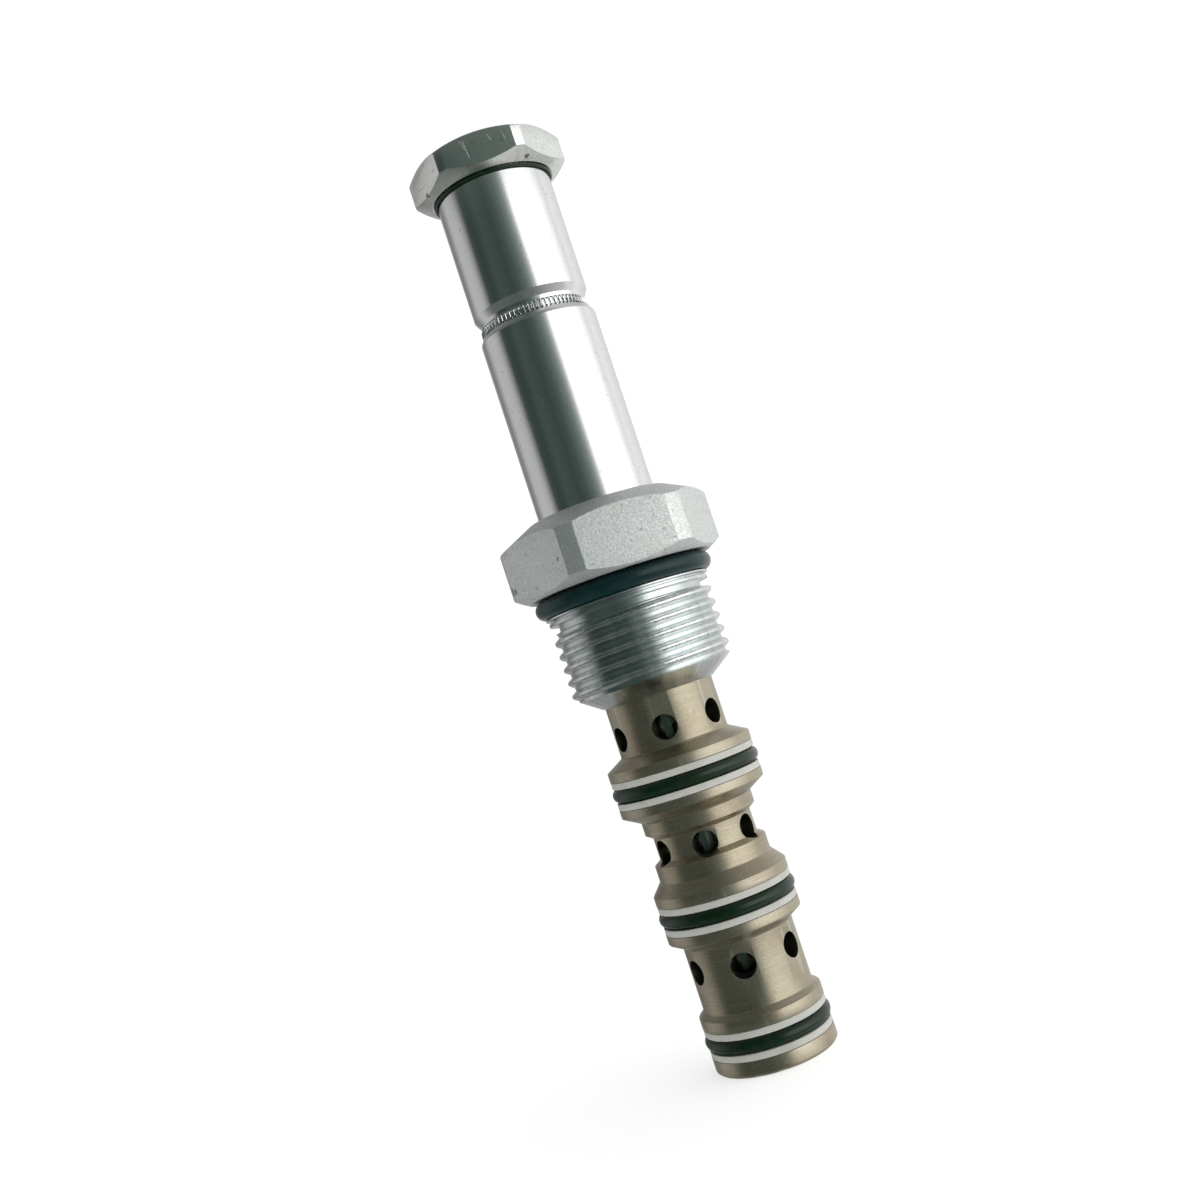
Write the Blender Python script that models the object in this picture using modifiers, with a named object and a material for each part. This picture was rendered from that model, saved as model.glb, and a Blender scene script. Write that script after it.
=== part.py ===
"""Solenoid cartridge valve, four ways and two positions, with its coil taken off.

The valve axis is the Z axis. The nose end face lies at z = 0 and the stud end is at the top.
All sizes below are in millimetres and are turned into metres when the meshes are made.
"""

import math

import bmesh
import bpy

MM = 0.001

# Facets around every turned piece. Pieces that fit inside one another share them.
STEPS = 28
DRILL_STEPS = 16
CORD_SIDES = 6

# Clearances, measured on the radius or along the axis.
SPOOL_PLAY = 0.04
ARMATURE_PLAY = 0.08
PRESS_GAP = 0.03
SEAL_GAP = 0.04
REST_GAP = 0.05
THREAD_SLACK = 0.10

# Cage: the stepped steel sleeve that fills the cavity. Radii first.
CAGE_BORE = 4.75
NECK_ONE = 7.33
NECK_TWO = 6.62
NECK_THREE = 7.36
COLLAR_UPPER = 7.50
COLLAR_LOWER = 7.55
LAND_UPPER = 9.73
LAND_MIDDLE = 8.99
LAND_LOWER = 8.22
LAND_EDGE = 0.14
NOSE_CHAMFER = 0.35
PORT_HOLE = 1.65
PORT_COUNT = 6

# Lengths of the cage's stretches, from the nose upward.
LOWER_LAND_LENGTH = 7.0
LOWER_SHOULDER = 1.1
NECK_THREE_LENGTH = 8.4
MIDDLE_CONE_UNDER = 1.0
MIDDLE_LAND_LENGTH = 6.25
MIDDLE_CONE_OVER = 1.65
LOWER_COLLAR_LENGTH = 2.1
COLLAR_SLOPE = 0.6
NECK_TWO_LENGTH = 3.0
UPPER_COLLAR_LENGTH = 1.7
UPPER_CONE_UNDER = 1.3
UPPER_LAND_LENGTH = 6.15
UPPER_CONE_OVER = 1.35
NECK_ONE_LENGTH = 6.8
SPIGOT_LENGTH = 7.5

# Where the rows of port holes stand in their necks, and how far each row is turned.
ROW_UPPER_RISE = 2.48
ROW_MIDDLE_DROP = 0.36
ROW_LOWER_DROP = 3.02
ROW_TURN = -4.6
ROW_TURN_MIDDLE = -3.0

# Seal stacks of the lands: one round cord between two flat backup rings.
NOSE_RIM = 2.05
SEAL_CORD = 1.86
SEAL_PROUD = 0.25
BACKUP_THICK = 0.88
BACKUP_SHY = 0.03

# Spring clip in the nose bore.
CLIP_LOW = 1.05
CLIP_THICK = 0.81
CLIP_BITE = 0.5
CLIP_REACH = 0.6
CLIP_GAP = 2.2

# Threaded hex adapter.
THREAD_MAJOR = 10.98
THREAD_PITCH = 1.814
NOSE_CONE = 2.0
THREAD_LENGTH = 10.1
RELIEF_LENGTH = 1.35
RELIEF_DEPTH = 1.2
RIM_THICK = 0.30
RIM_PROUD = 0.2
GLAND_HEIGHT = 2.6
GLAND_NECK = 9.62
GLAND_CORD = 2.5
HEX_HEIGHT = 9.75
HEX_FLATS = 26.0
HEX_CORNER_CUT = 0.66
HEX_TOP_LAND = 1.6
HEX_TOP_SLOPE = 2.4
HEX_FOOT_LAND = 0.35
HEX_FOOT_SLOPE = 1.12
HEX_TURN = 10.5
CLEAR_ROOM = 0.45
TUBE_DEPTH = 8.4

# Guide tube and its hidden seal.
TUBE_OUT = 8.0
TUBE_WALL = 0.95
TUBE_RISE = 26.0
TUBE_ROUND = 1.0
TUBE_SEAL_CORD = 1.28
TUBE_SEAL_RISE = 1.0

# Pole piece and its stud.
POLE_STEP = 0.1
KNURL_COUNT = 40
KNURL_HEIGHT = 1.65
KNURL_TIP_STEP = 0.60
KNURL_ROOT_STEP = 0.86
POLE_FILLET = 1.45
POLE_LENGTH = 16.5
POLE_PLUG = 8.8
STUD_MAJOR = 6.35
STUD_PITCH = 1.27
STUD_PROUD = 0.9
STUD_RELIEF = 0.9

# Coil nut and its thin seal.
NUT_HEIGHT = 4.55
NUT_FLATS = 19.0
NUT_CORNER_CUT = 0.35
NUT_CHAMFER = 0.85
NUT_CORD = 0.5
NUT_SKIRT = 0.35
NUT_SKIRT_WALL = 0.5
NUT_CONE = 1.2

# Moving pieces.
STROKE = 2.4
SHIM_THICK = 0.30
SPOOL_GROOVE = 3.3
SPOOL_BALANCE_BORE = 1.5
SPOOL_HEAD_TALL = 1.55
SPOOL_STEM = 1.9
LINK_ROD = 2.0
LINK_GAP = 0.35
LINK_FOOT_WALL = 1.0
ARMATURE_FOOT_ROOM = 3.7
ARMATURE_SLOT = 1.4
POCKET = 3.3
POCKET_DEPTH = 10.1
POLE_POCKET_DEPTH = 5.0
SPRING_WIRE = 0.9
SPRING_MEAN = 2.45
SPRING_TURNS = 8

# Heights that follow from the lengths.
NECK_THREE_FOOT = LOWER_LAND_LENGTH + LOWER_SHOULDER
NECK_THREE_TOP = NECK_THREE_FOOT + NECK_THREE_LENGTH
MIDDLE_LAND_FOOT = NECK_THREE_TOP + MIDDLE_CONE_UNDER
MIDDLE_LAND_TOP = MIDDLE_LAND_FOOT + MIDDLE_LAND_LENGTH
LOWER_COLLAR_FOOT = MIDDLE_LAND_TOP + MIDDLE_CONE_OVER
LOWER_COLLAR_TOP = LOWER_COLLAR_FOOT + LOWER_COLLAR_LENGTH
NECK_TWO_FOOT = LOWER_COLLAR_TOP + COLLAR_SLOPE
NECK_TWO_TOP = NECK_TWO_FOOT + NECK_TWO_LENGTH
UPPER_COLLAR_FOOT = NECK_TWO_TOP + COLLAR_SLOPE
UPPER_COLLAR_TOP = UPPER_COLLAR_FOOT + UPPER_COLLAR_LENGTH
UPPER_LAND_FOOT = UPPER_COLLAR_TOP + UPPER_CONE_UNDER
UPPER_LAND_TOP = UPPER_LAND_FOOT + UPPER_LAND_LENGTH
NECK_ONE_FOOT = UPPER_LAND_TOP + UPPER_CONE_OVER
ADAPTER_FOOT = NECK_ONE_FOOT + NECK_ONE_LENGTH
CAGE_TOP = ADAPTER_FOOT + SPIGOT_LENGTH
THREAD_LOW = ADAPTER_FOOT + NOSE_CONE
THREAD_HIGH = THREAD_LOW + THREAD_LENGTH
GLAND_FLOOR = THREAD_HIGH + RELIEF_LENGTH
HEX_UNDER = GLAND_FLOOR + GLAND_HEIGHT
HEX_TOP = HEX_UNDER + HEX_HEIGHT
TUBE_FOOT = HEX_TOP - TUBE_DEPTH
TUBE_TOP = HEX_TOP + TUBE_RISE
KNURL_TOP = TUBE_TOP + KNURL_HEIGHT
POLE_FILLET_TOP = KNURL_TOP + POLE_FILLET
POLE_TOP = POLE_FILLET_TOP + POLE_LENGTH
POLE_FACE = TUBE_TOP - POLE_PLUG
NUT_UNDER = POLE_TOP + REST_GAP
NUT_FOOT = NUT_UNDER - NUT_SKIRT
NUT_TOP = NUT_UNDER + NUT_HEIGHT
STUD_TOP = NUT_TOP + STUD_PROUD
ROW_UPPER = NECK_ONE_FOOT + ROW_UPPER_RISE
ROW_MIDDLE = (NECK_TWO_FOOT + NECK_TWO_TOP) / 2.0 - ROW_MIDDLE_DROP
ROW_LOWER = NECK_THREE_TOP - ROW_LOWER_DROP
SHIM_TOP = POLE_FACE - REST_GAP
SHIM_FOOT = SHIM_TOP - SHIM_THICK
ARMATURE_TOP = SHIM_FOOT - REST_GAP - STROKE
ARMATURE_FOOT = TUBE_FOOT + ARMATURE_FOOT_ROOM
POCKET_FLOOR = ARMATURE_TOP - POCKET_DEPTH
SPOOL_FOOT = CLIP_LOW + CLIP_THICK + 0.5
SPOOL_SHOULDER = CAGE_TOP - 2.3
SPOOL_HEAD_TOP = CAGE_TOP + 1.8

# Radii that follow from their neighbours.
GROOVE_WIDTH = SEAL_CORD + 2.0 * BACKUP_THICK + 4.0 * SEAL_GAP
HEX_CORNER = HEX_FLATS / math.sqrt(3.0) - HEX_CORNER_CUT
NUT_CORNER = NUT_FLATS / math.sqrt(3.0) - NUT_CORNER_CUT
TUBE_IN = TUBE_OUT - TUBE_WALL
POLE_OUT = TUBE_OUT - POLE_STEP
SPOOL_OUT = CAGE_BORE - SPOOL_PLAY
ARMATURE_OUT = TUBE_IN - ARMATURE_PLAY
CLEAR_BORE = CAGE_BORE + CLEAR_ROOM
LINK_OUT = CAGE_BORE - LINK_GAP
LINK_ROOM = LINK_OUT - LINK_FOOT_WALL
SPOOL_HEAD = LINK_ROOM - 0.25
LINK_NECK_ROOM = SPOOL_STEM + 0.2
UPPER_GROOVE = (UPPER_LAND_FOOT + UPPER_LAND_TOP - GROOVE_WIDTH) / 2.0
MIDDLE_GROOVE = (MIDDLE_LAND_FOOT + MIDDLE_LAND_TOP - GROOVE_WIDTH) / 2.0
THREAD_DEPTH = 0.6134


def clear_scene():
    for thing in list(bpy.data.objects):
        bpy.data.objects.remove(thing, do_unlink=True)


def new_collection(name):
    group = bpy.data.collections.new(name)
    bpy.context.scene.collection.children.link(group)
    return group


def new_material(name, colour, metal, rough):
    coat = bpy.data.materials.new(name)
    coat.use_nodes = True
    shader = coat.node_tree.nodes["Principled BSDF"]
    shader.inputs["Base Color"].default_value = (colour[0], colour[1], colour[2], 1.0)
    shader.inputs["Metallic"].default_value = metal
    shader.inputs["Roughness"].default_value = rough
    return coat


def add_object(name, mesh, home):
    piece = bpy.data.objects.new(name, mesh)
    home.objects.link(piece)
    return piece


def turned(name, outline, home, ring):
    """Spin an outline of (radius, height) points about the valve axis."""
    points = [(radius * MM, 0.0, height * MM) for radius, height in outline]
    last = len(points) - 1
    edges = [(spot, spot + 1) for spot in range(last)]
    if ring:
        edges.append((last, 0))
    mesh = bpy.data.meshes.new(name)
    mesh.from_pydata(points, edges, [])
    piece = add_object(name, mesh, home)
    spin = piece.modifiers.new("spin", "SCREW")
    spin.axis = "Z"
    spin.angle = 2.0 * math.pi
    spin.steps = STEPS
    spin.render_steps = STEPS
    spin.use_merge_vertices = True
    spin.merge_threshold = 0.000001
    spin.use_smooth_shade = True
    return piece


def tidy_mesh(mesh, weld, fill):
    """Weld doubles, close open ends if asked, and point all faces outward."""
    work = bmesh.new()
    work.from_mesh(mesh)
    if weld:
        bmesh.ops.remove_doubles(work, verts=work.verts, dist=0.0000005)
    if fill:
        open_edges = [edge for edge in work.edges if edge.is_boundary]
        bmesh.ops.holes_fill(work, edges=open_edges, sides=0)
    bmesh.ops.recalc_face_normals(work, faces=work.faces)
    work.to_mesh(mesh)
    work.free()


def finished_mesh(piece):
    bpy.context.view_layer.update()
    graph = bpy.context.evaluated_depsgraph_get()
    return bpy.data.meshes.new_from_object(piece.evaluated_get(graph))


def helix(name, section, low, turns, pitch, home):
    """Sweep a small closed section (radius, height about zero) along a right-hand helix."""
    lifted = [(radius, low + height) for radius, height in section]
    piece = turned(name, lifted, home, True)
    spin = piece.modifiers["spin"]
    spin.use_merge_vertices = False
    spin.screw_offset = pitch * MM
    spin.iterations = turns
    mesh = finished_mesh(piece)
    piece.modifiers.clear()
    piece.data = mesh
    tidy_mesh(mesh, True, True)
    return piece


def thread_section(major, pitch, rise):
    """The V-shaped cutter of an outer thread, widening outward past the crest by rise."""
    depth = THREAD_DEPTH * pitch
    half_root = pitch / 8.0
    half_top = half_root + (depth + rise) * math.tan(math.radians(30.0))
    return [
        (major + rise, half_top), (major + rise, -half_top),
        (major - depth, -half_root), (major - depth, half_root)]


def hex_prism(name, flats, low, high, turn, home):
    """A six-sided prism; turn is the heading of one flat, from -Y toward +X, in degrees."""
    mesh = bpy.data.meshes.new(name)
    work = bmesh.new()
    corner = flats / math.sqrt(3.0) * MM
    bmesh.ops.create_cone(
        work, cap_ends=True, segments=6, radius1=corner, radius2=corner, depth=(high - low) * MM)
    work.to_mesh(mesh)
    work.free()
    piece = add_object(name, mesh, home)
    piece.location = (0.0, 0.0, (low + high) / 2.0 * MM)
    # The primitive's first corner stands at +Y, so its flats lie 30 degrees off.
    piece.rotation_euler = (0.0, 0.0, math.radians(turn + 30.0))
    return piece


def radial_drills(name, rows, near, far, home):
    """Round cutters that run outward from the axis, one mesh for all (height, turn, radius, count)."""
    mesh = bpy.data.meshes.new(name)
    work = bmesh.new()
    middle = (far + near) / 2.0 * MM
    for height, turn, radius, count in rows:
        for spot in range(count):
            heading = math.radians(turn + 360.0 * spot / count)
            made = bmesh.ops.create_cone(
                work, cap_ends=True, segments=DRILL_STEPS, radius1=radius * MM,
                radius2=radius * MM, depth=(far - near) * MM)
            for vert in made["verts"]:
                across, along, out = vert.co
                out += middle
                vert.co = (
                    across * math.cos(heading) + out * math.sin(heading),
                    across * math.sin(heading) - out * math.cos(heading),
                    along + height * MM)
    work.to_mesh(mesh)
    work.free()
    tidy_mesh(mesh, False, False)
    return add_object(name, mesh, home)


def block(name, size, centre, home, turn=0.0):
    mesh = bpy.data.meshes.new(name)
    work = bmesh.new()
    bmesh.ops.create_cube(work, size=1.0)
    for vert in work.verts:
        vert.co = [part * length * MM for part, length in zip(vert.co, size)]
    work.to_mesh(mesh)
    work.free()
    piece = add_object(name, mesh, home)
    piece.location = [part * MM for part in centre]
    piece.rotation_euler = (0.0, 0.0, math.radians(turn))
    return piece


def carve(piece, cutter, kind="DIFFERENCE"):
    step = piece.modifiers.new(cutter.name, "BOOLEAN")
    step.operation = kind
    step.solver = "EXACT"
    step.object = cutter
    cutter.hide_render = True
    cutter.display_type = "WIRE"


def paint(piece, coat):
    piece.data.materials.clear()
    piece.data.materials.append(coat)


def seal_ring(name, inside, cord, height, coat, home):
    """A round cord ring; its section runs down the outer side and back up inside."""
    middle = inside + cord / 2.0
    outline = []
    for spot in range(CORD_SIDES):
        bend = math.pi / 2.0 - 2.0 * math.pi * (spot + 0.5) / CORD_SIDES
        outline.append((middle + cord / 2.0 * math.cos(bend), height + cord / 2.0 * math.sin(bend)))
    piece = turned(name, outline, home, True)
    paint(piece, coat)
    return piece


def flat_ring(name, inside, outside, low, high, coat, home):
    outline = [(outside, high), (outside, low), (inside, low), (inside, high)]
    piece = turned(name, outline, home, True)
    paint(piece, coat)
    return piece


def groove_floor(land):
    return land + SEAL_PROUD - SEAL_CORD - SEAL_GAP


def groove_outline(land, groove):
    return [
        (land, groove + GROOVE_WIDTH), (groove_floor(land), groove + GROOVE_WIDTH),
        (groove_floor(land), groove), (land, groove)]


def land_outline(land, top, foot, groove):
    edge = [(land - LAND_EDGE, top), (land, top - LAND_EDGE)]
    return edge + groove_outline(land, groove) + [(land, foot + LAND_EDGE), (land - LAND_EDGE, foot)]


def make_cage(home, tools, coat):
    outline = [(NECK_ONE - 0.3, CAGE_TOP), (NECK_ONE, CAGE_TOP - 0.4), (NECK_ONE, NECK_ONE_FOOT)]
    outline += land_outline(LAND_UPPER, UPPER_LAND_TOP, UPPER_LAND_FOOT, UPPER_GROOVE)
    outline += [
        (COLLAR_UPPER, UPPER_COLLAR_TOP), (COLLAR_UPPER, UPPER_COLLAR_FOOT),
        (NECK_TWO, NECK_TWO_TOP), (NECK_TWO, NECK_TWO_FOOT),
        (COLLAR_LOWER, LOWER_COLLAR_TOP), (COLLAR_LOWER, LOWER_COLLAR_FOOT)]
    outline += land_outline(LAND_MIDDLE, MIDDLE_LAND_TOP, MIDDLE_LAND_FOOT, MIDDLE_GROOVE)
    outline += [
        (NECK_THREE, NECK_THREE_TOP), (NECK_THREE, NECK_THREE_FOOT),
        (NECK_THREE + 0.2, NECK_THREE_FOOT - 0.3 * LOWER_SHOULDER),
        (LAND_LOWER - 0.2, LOWER_LAND_LENGTH + 0.25), (LAND_LOWER, LOWER_LAND_LENGTH)]
    outline += groove_outline(LAND_LOWER, NOSE_RIM)
    clip_top = CLIP_LOW + CLIP_THICK + 2.0 * SEAL_GAP
    clip_floor = CAGE_BORE + CLIP_BITE + REST_GAP
    outline += [
        (LAND_LOWER, NOSE_CHAMFER), (LAND_LOWER - NOSE_CHAMFER, 0.0), (CAGE_BORE + 0.5, 0.0),
        (CAGE_BORE, 0.5), (CAGE_BORE, CLIP_LOW), (clip_floor, CLIP_LOW), (clip_floor, clip_top),
        (CAGE_BORE, clip_top), (CAGE_BORE, CAGE_TOP - 0.5), (CAGE_BORE + 0.5, CAGE_TOP)]
    piece = turned("cage", outline, home, True)
    paint(piece, coat)
    rows = [
        (ROW_UPPER, ROW_TURN, PORT_HOLE, PORT_COUNT),
        (ROW_MIDDLE, ROW_TURN_MIDDLE, PORT_HOLE, PORT_COUNT),
        (ROW_LOWER, ROW_TURN, PORT_HOLE, PORT_COUNT)]
    near = CAGE_BORE - 1.0
    far = max(NECK_ONE, COLLAR_UPPER, COLLAR_LOWER, NECK_THREE) + 1.5
    carve(piece, radial_drills("port_drills", rows, near, far, tools))
    return piece


def make_adapter(home, tools, coat):
    rim_foot = GLAND_FLOOR - RIM_THICK
    band_top = rim_foot - RIM_THICK
    band_foot = band_top - 0.5
    tube_bore = TUBE_OUT + PRESS_GAP
    cage_bore = NECK_ONE + PRESS_GAP
    cage_stop = CAGE_TOP + 2.0 * REST_GAP
    tube_stop = TUBE_FOOT - 2.0 * REST_GAP
    seal_foot = TUBE_FOOT + TUBE_SEAL_RISE
    seal_top = seal_foot + TUBE_SEAL_CORD + 0.5
    seal_floor = TUBE_OUT + TUBE_SEAL_CORD + 3.0 * SEAL_GAP
    gland_rim = GLAND_NECK + GLAND_CORD + 2.0 * SEAL_GAP
    outline = [
        (TUBE_OUT + HEX_TOP_LAND, HEX_TOP), (HEX_CORNER, HEX_TOP - HEX_TOP_SLOPE),
        (HEX_CORNER, HEX_UNDER + HEX_FOOT_SLOPE), (gland_rim + HEX_FOOT_LAND, HEX_UNDER),
        (gland_rim, HEX_UNDER), (gland_rim, HEX_UNDER + REST_GAP),
        (GLAND_NECK, HEX_UNDER + REST_GAP), (GLAND_NECK, GLAND_FLOOR), (THREAD_MAJOR + RIM_PROUD, GLAND_FLOOR),
        (THREAD_MAJOR + RIM_PROUD, rim_foot), (THREAD_MAJOR - 0.7, rim_foot),
        (THREAD_MAJOR - 0.7, band_top), (THREAD_MAJOR - 0.05, band_top),
        (THREAD_MAJOR - 0.05, band_foot), (THREAD_MAJOR - RELIEF_DEPTH, band_foot),
        (THREAD_MAJOR - RELIEF_DEPTH, THREAD_HIGH - 0.6), (THREAD_MAJOR, THREAD_HIGH - 0.9),
        (THREAD_MAJOR, THREAD_LOW), (NECK_ONE + 0.25, ADAPTER_FOOT), (cage_bore, ADAPTER_FOOT),
        (cage_bore, cage_stop), (CLEAR_BORE, cage_stop), (CLEAR_BORE, tube_stop),
        (tube_bore, tube_stop), (tube_bore, seal_foot), (seal_floor, seal_foot),
        (seal_floor, seal_top), (tube_bore, seal_top), (tube_bore, HEX_TOP)]
    piece = turned("hex_adapter", outline, home, True)
    paint(piece, coat)
    prism = hex_prism("adapter_hex", HEX_FLATS, ADAPTER_FOOT - 5.0, HEX_TOP + 5.0, HEX_TURN, tools)
    carve(piece, prism, "INTERSECT")
    section = thread_section(THREAD_MAJOR, THREAD_PITCH, 0.12)
    turns = int(math.ceil(THREAD_LENGTH / THREAD_PITCH))
    start = band_foot - 0.5 - turns * THREAD_PITCH
    carve(piece, helix("adapter_thread_groove", section, start, turns, THREAD_PITCH, tools))
    return piece


def make_tube(home, coat):
    outline = []
    for share in (0.0, 1.0 / 3.0, 2.0 / 3.0, 1.0):
        bend = math.radians(90.0 * (1.0 - share))
        outline.append((
            TUBE_OUT - 0.55 * (1.0 - math.cos(bend)),
            TUBE_TOP - TUBE_ROUND * (1.0 - math.sin(bend))))
    outline += [
        (TUBE_OUT, TUBE_FOOT + 0.3), (TUBE_OUT - 0.3, TUBE_FOOT), (TUBE_IN, TUBE_FOOT),
        (TUBE_IN, TUBE_TOP)]
    piece = turned("guide_tube", outline, home, True)
    paint(piece, coat)
    return piece


def make_knurl(home):
    """A toothed band: every second point of its outline stands at the tooth tip."""
    tip = TUBE_OUT - KNURL_TIP_STEP
    root = TUBE_OUT - KNURL_ROOT_STEP - 0.02
    sides = 2 * KNURL_COUNT
    mesh = bpy.data.meshes.new("knurl_band")
    work = bmesh.new()
    rings = []
    for height in (TUBE_TOP + 2.0 * REST_GAP, KNURL_TOP + 0.12):
        ring = []
        for spot in range(sides):
            radius = tip if spot % 2 else root
            heading = 2.0 * math.pi * spot / sides
            place = (radius * math.cos(heading), radius * math.sin(heading), height)
            ring.append(work.verts.new([part * MM for part in place]))
        rings.append(ring)
    for spot in range(sides):
        after = (spot + 1) % sides
        work.faces.new((rings[0][spot], rings[0][after], rings[1][after], rings[1][spot]))
    work.faces.new(list(reversed(rings[0])))
    work.faces.new(rings[1])
    work.to_mesh(mesh)
    work.free()
    return add_object("knurl_band", mesh, home)


def make_pole(home, tools, coat):
    plug = TUBE_IN - PRESS_GAP
    root = TUBE_OUT - KNURL_ROOT_STEP
    seat = TUBE_TOP + 1.5 * REST_GAP
    relief = STUD_MAJOR - 0.9
    outline = [
        (0.0, STUD_TOP), (STUD_MAJOR - 0.6, STUD_TOP), (STUD_MAJOR, STUD_TOP - 0.6),
        (STUD_MAJOR, POLE_TOP + STUD_RELIEF), (relief, POLE_TOP + STUD_RELIEF - 0.2),
        (relief, POLE_TOP), (POLE_OUT - 0.35, POLE_TOP), (POLE_OUT, POLE_TOP - 0.35),
        (POLE_OUT, POLE_FILLET_TOP), (POLE_OUT - 0.12, POLE_FILLET_TOP - 0.45 * POLE_FILLET),
        (POLE_OUT - 0.34, KNURL_TOP + 0.2 * POLE_FILLET), (POLE_OUT - 0.62, KNURL_TOP),
        (root, KNURL_TOP), (root, seat), (plug, seat), (plug, POLE_FACE + 0.3),
        (plug - 0.3, POLE_FACE), (POCKET - 0.1, POLE_FACE),
        (POCKET - 0.1, POLE_FACE + POLE_POCKET_DEPTH), (0.0, POLE_FACE + POLE_POCKET_DEPTH)]
    piece = turned("pole_piece", outline, home, False)
    paint(piece, coat)
    carve(piece, make_knurl(tools), "UNION")
    section = thread_section(STUD_MAJOR, STUD_PITCH, 0.08)
    turns = int(math.ceil((STUD_TOP - POLE_TOP) / STUD_PITCH))
    low = POLE_TOP + STUD_RELIEF / 2.0
    carve(piece, helix("stud_thread_groove", section, low, turns, STUD_PITCH, tools))
    return piece


def make_nut(home, tools, coat):
    minor = STUD_MAJOR - THREAD_DEPTH * STUD_PITCH + 2.0 * THREAD_SLACK
    mouth = STUD_MAJOR + 0.3
    edge = NUT_CORNER - 1.8 * NUT_CHAMFER
    skirt_bore = POLE_OUT + 2.0 * REST_GAP
    outline = [
        (edge, NUT_TOP), (NUT_CORNER, NUT_TOP - NUT_CHAMFER), (NUT_CORNER, NUT_FOOT + NUT_CONE),
        (skirt_bore + NUT_SKIRT_WALL, NUT_FOOT), (skirt_bore, NUT_FOOT), (skirt_bore, NUT_UNDER),
        (mouth, NUT_UNDER), (minor, NUT_UNDER + 0.8), (minor, NUT_TOP - 0.8), (mouth, NUT_TOP)]
    piece = turned("coil_nut", outline, home, True)
    paint(piece, coat)
    carve(piece, hex_prism("nut_hex", NUT_FLATS, NUT_UNDER - 3.0, NUT_TOP + 3.0, 0.0, tools), "INTERSECT")
    # This groove takes the stud's ridge, which stands half a pitch from the stud's groove.
    base = minor - 0.12
    tip = STUD_MAJOR + THREAD_SLACK
    half_tip = STUD_PITCH / 16.0 + 0.9 * THREAD_SLACK
    half_base = half_tip + (tip - base) * math.tan(math.radians(30.0))
    section = [(tip, half_tip), (tip, -half_tip), (base, -half_base), (base, half_base)]
    low = POLE_TOP + STUD_RELIEF / 2.0 - 1.5 * STUD_PITCH
    turns = int(math.ceil(NUT_HEIGHT / STUD_PITCH)) + 2
    carve(piece, helix("nut_thread_groove", section, low, turns, STUD_PITCH, tools))
    return piece


def make_spool(home, tools, coat):
    head_foot = SPOOL_HEAD_TOP - SPOOL_HEAD_TALL
    outline = [
        (0.0, SPOOL_HEAD_TOP), (SPOOL_HEAD - 0.25, SPOOL_HEAD_TOP),
        (SPOOL_HEAD, SPOOL_HEAD_TOP - 0.25), (SPOOL_HEAD, head_foot), (SPOOL_STEM, head_foot),
        (SPOOL_STEM, SPOOL_SHOULDER), (SPOOL_OUT - 0.25, SPOOL_SHOULDER),
        (SPOOL_OUT, SPOOL_SHOULDER - 0.25)]
    # Each groove spans the stretch between two rows of ports that the spool joins.
    spans = [(ROW_UPPER, 2.32, 3.68), (ROW_MIDDLE, 2.76, 2.74), (ROW_LOWER, 3.52, 2.48)]
    for row, above, below in spans:
        outline += [
            (SPOOL_OUT, row + above), (SPOOL_GROOVE, row + above - 0.4),
            (SPOOL_GROOVE, row - below + 0.4), (SPOOL_OUT, row - below)]
    outline += [
        (SPOOL_OUT, SPOOL_FOOT + 0.25), (SPOOL_OUT - 0.25, SPOOL_FOOT),
        (SPOOL_BALANCE_BORE, SPOOL_FOOT), (SPOOL_BALANCE_BORE, SPOOL_SHOULDER - 4.2),
        (0.0, SPOOL_SHOULDER - 3.6)]
    piece = turned("spool", outline, home, False)
    paint(piece, coat)
    rows = [(ROW_UPPER - 0.7, 20.0, 0.9, 2), (ROW_LOWER + 0.5, 20.0, 0.9, 2)]
    carve(piece, radial_drills("spool_drills", rows, SPOOL_BALANCE_BORE - 0.6, SPOOL_OUT, tools))
    return piece


def make_link(home, tools, coat):
    shoulder = TUBE_FOOT - 0.6
    foot = SPOOL_SHOULDER + 0.4
    rod_top = ARMATURE_FOOT + 7.4
    room_top = SPOOL_HEAD_TOP + 0.3
    room_foot = SPOOL_HEAD_TOP - SPOOL_HEAD_TALL - 0.3
    outline = [
        (0.0, rod_top), (LINK_ROD - 0.3, rod_top), (LINK_ROD, rod_top - 0.3),
        (LINK_ROD, shoulder), (LINK_OUT - 0.3, shoulder), (LINK_OUT, shoulder - 0.3),
        (LINK_OUT, foot + 0.3), (LINK_OUT - 0.25, foot), (0.0, foot)]
    piece = turned("spool_link", outline, home, False)
    paint(piece, coat)
    head_room = [(0.0, room_top), (LINK_ROOM, room_top), (LINK_ROOM, room_foot), (0.0, room_foot)]
    neck_foot = foot - 1.0
    neck_top = room_foot + 0.5
    neck_room = [
        (0.0, neck_top), (LINK_NECK_ROOM, neck_top), (LINK_NECK_ROOM, neck_foot), (0.0, neck_foot)]
    carve(piece, turned("link_head_room", head_room, tools, False))
    carve(piece, turned("link_neck_room", neck_room, tools, False))
    reach = LINK_OUT + 2.0
    head_size = (reach, 2.0 * LINK_ROOM, room_top - room_foot)
    head_centre = (reach / 2.0, 0.0, (room_top + room_foot) / 2.0)
    neck_size = (reach, 2.0 * LINK_NECK_ROOM, neck_top - neck_foot)
    neck_centre = (reach / 2.0, 0.0, (neck_top + neck_foot) / 2.0)
    carve(piece, block("link_head_slot", head_size, head_centre, tools))
    carve(piece, block("link_neck_slot", neck_size, neck_centre, tools))
    return piece


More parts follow.
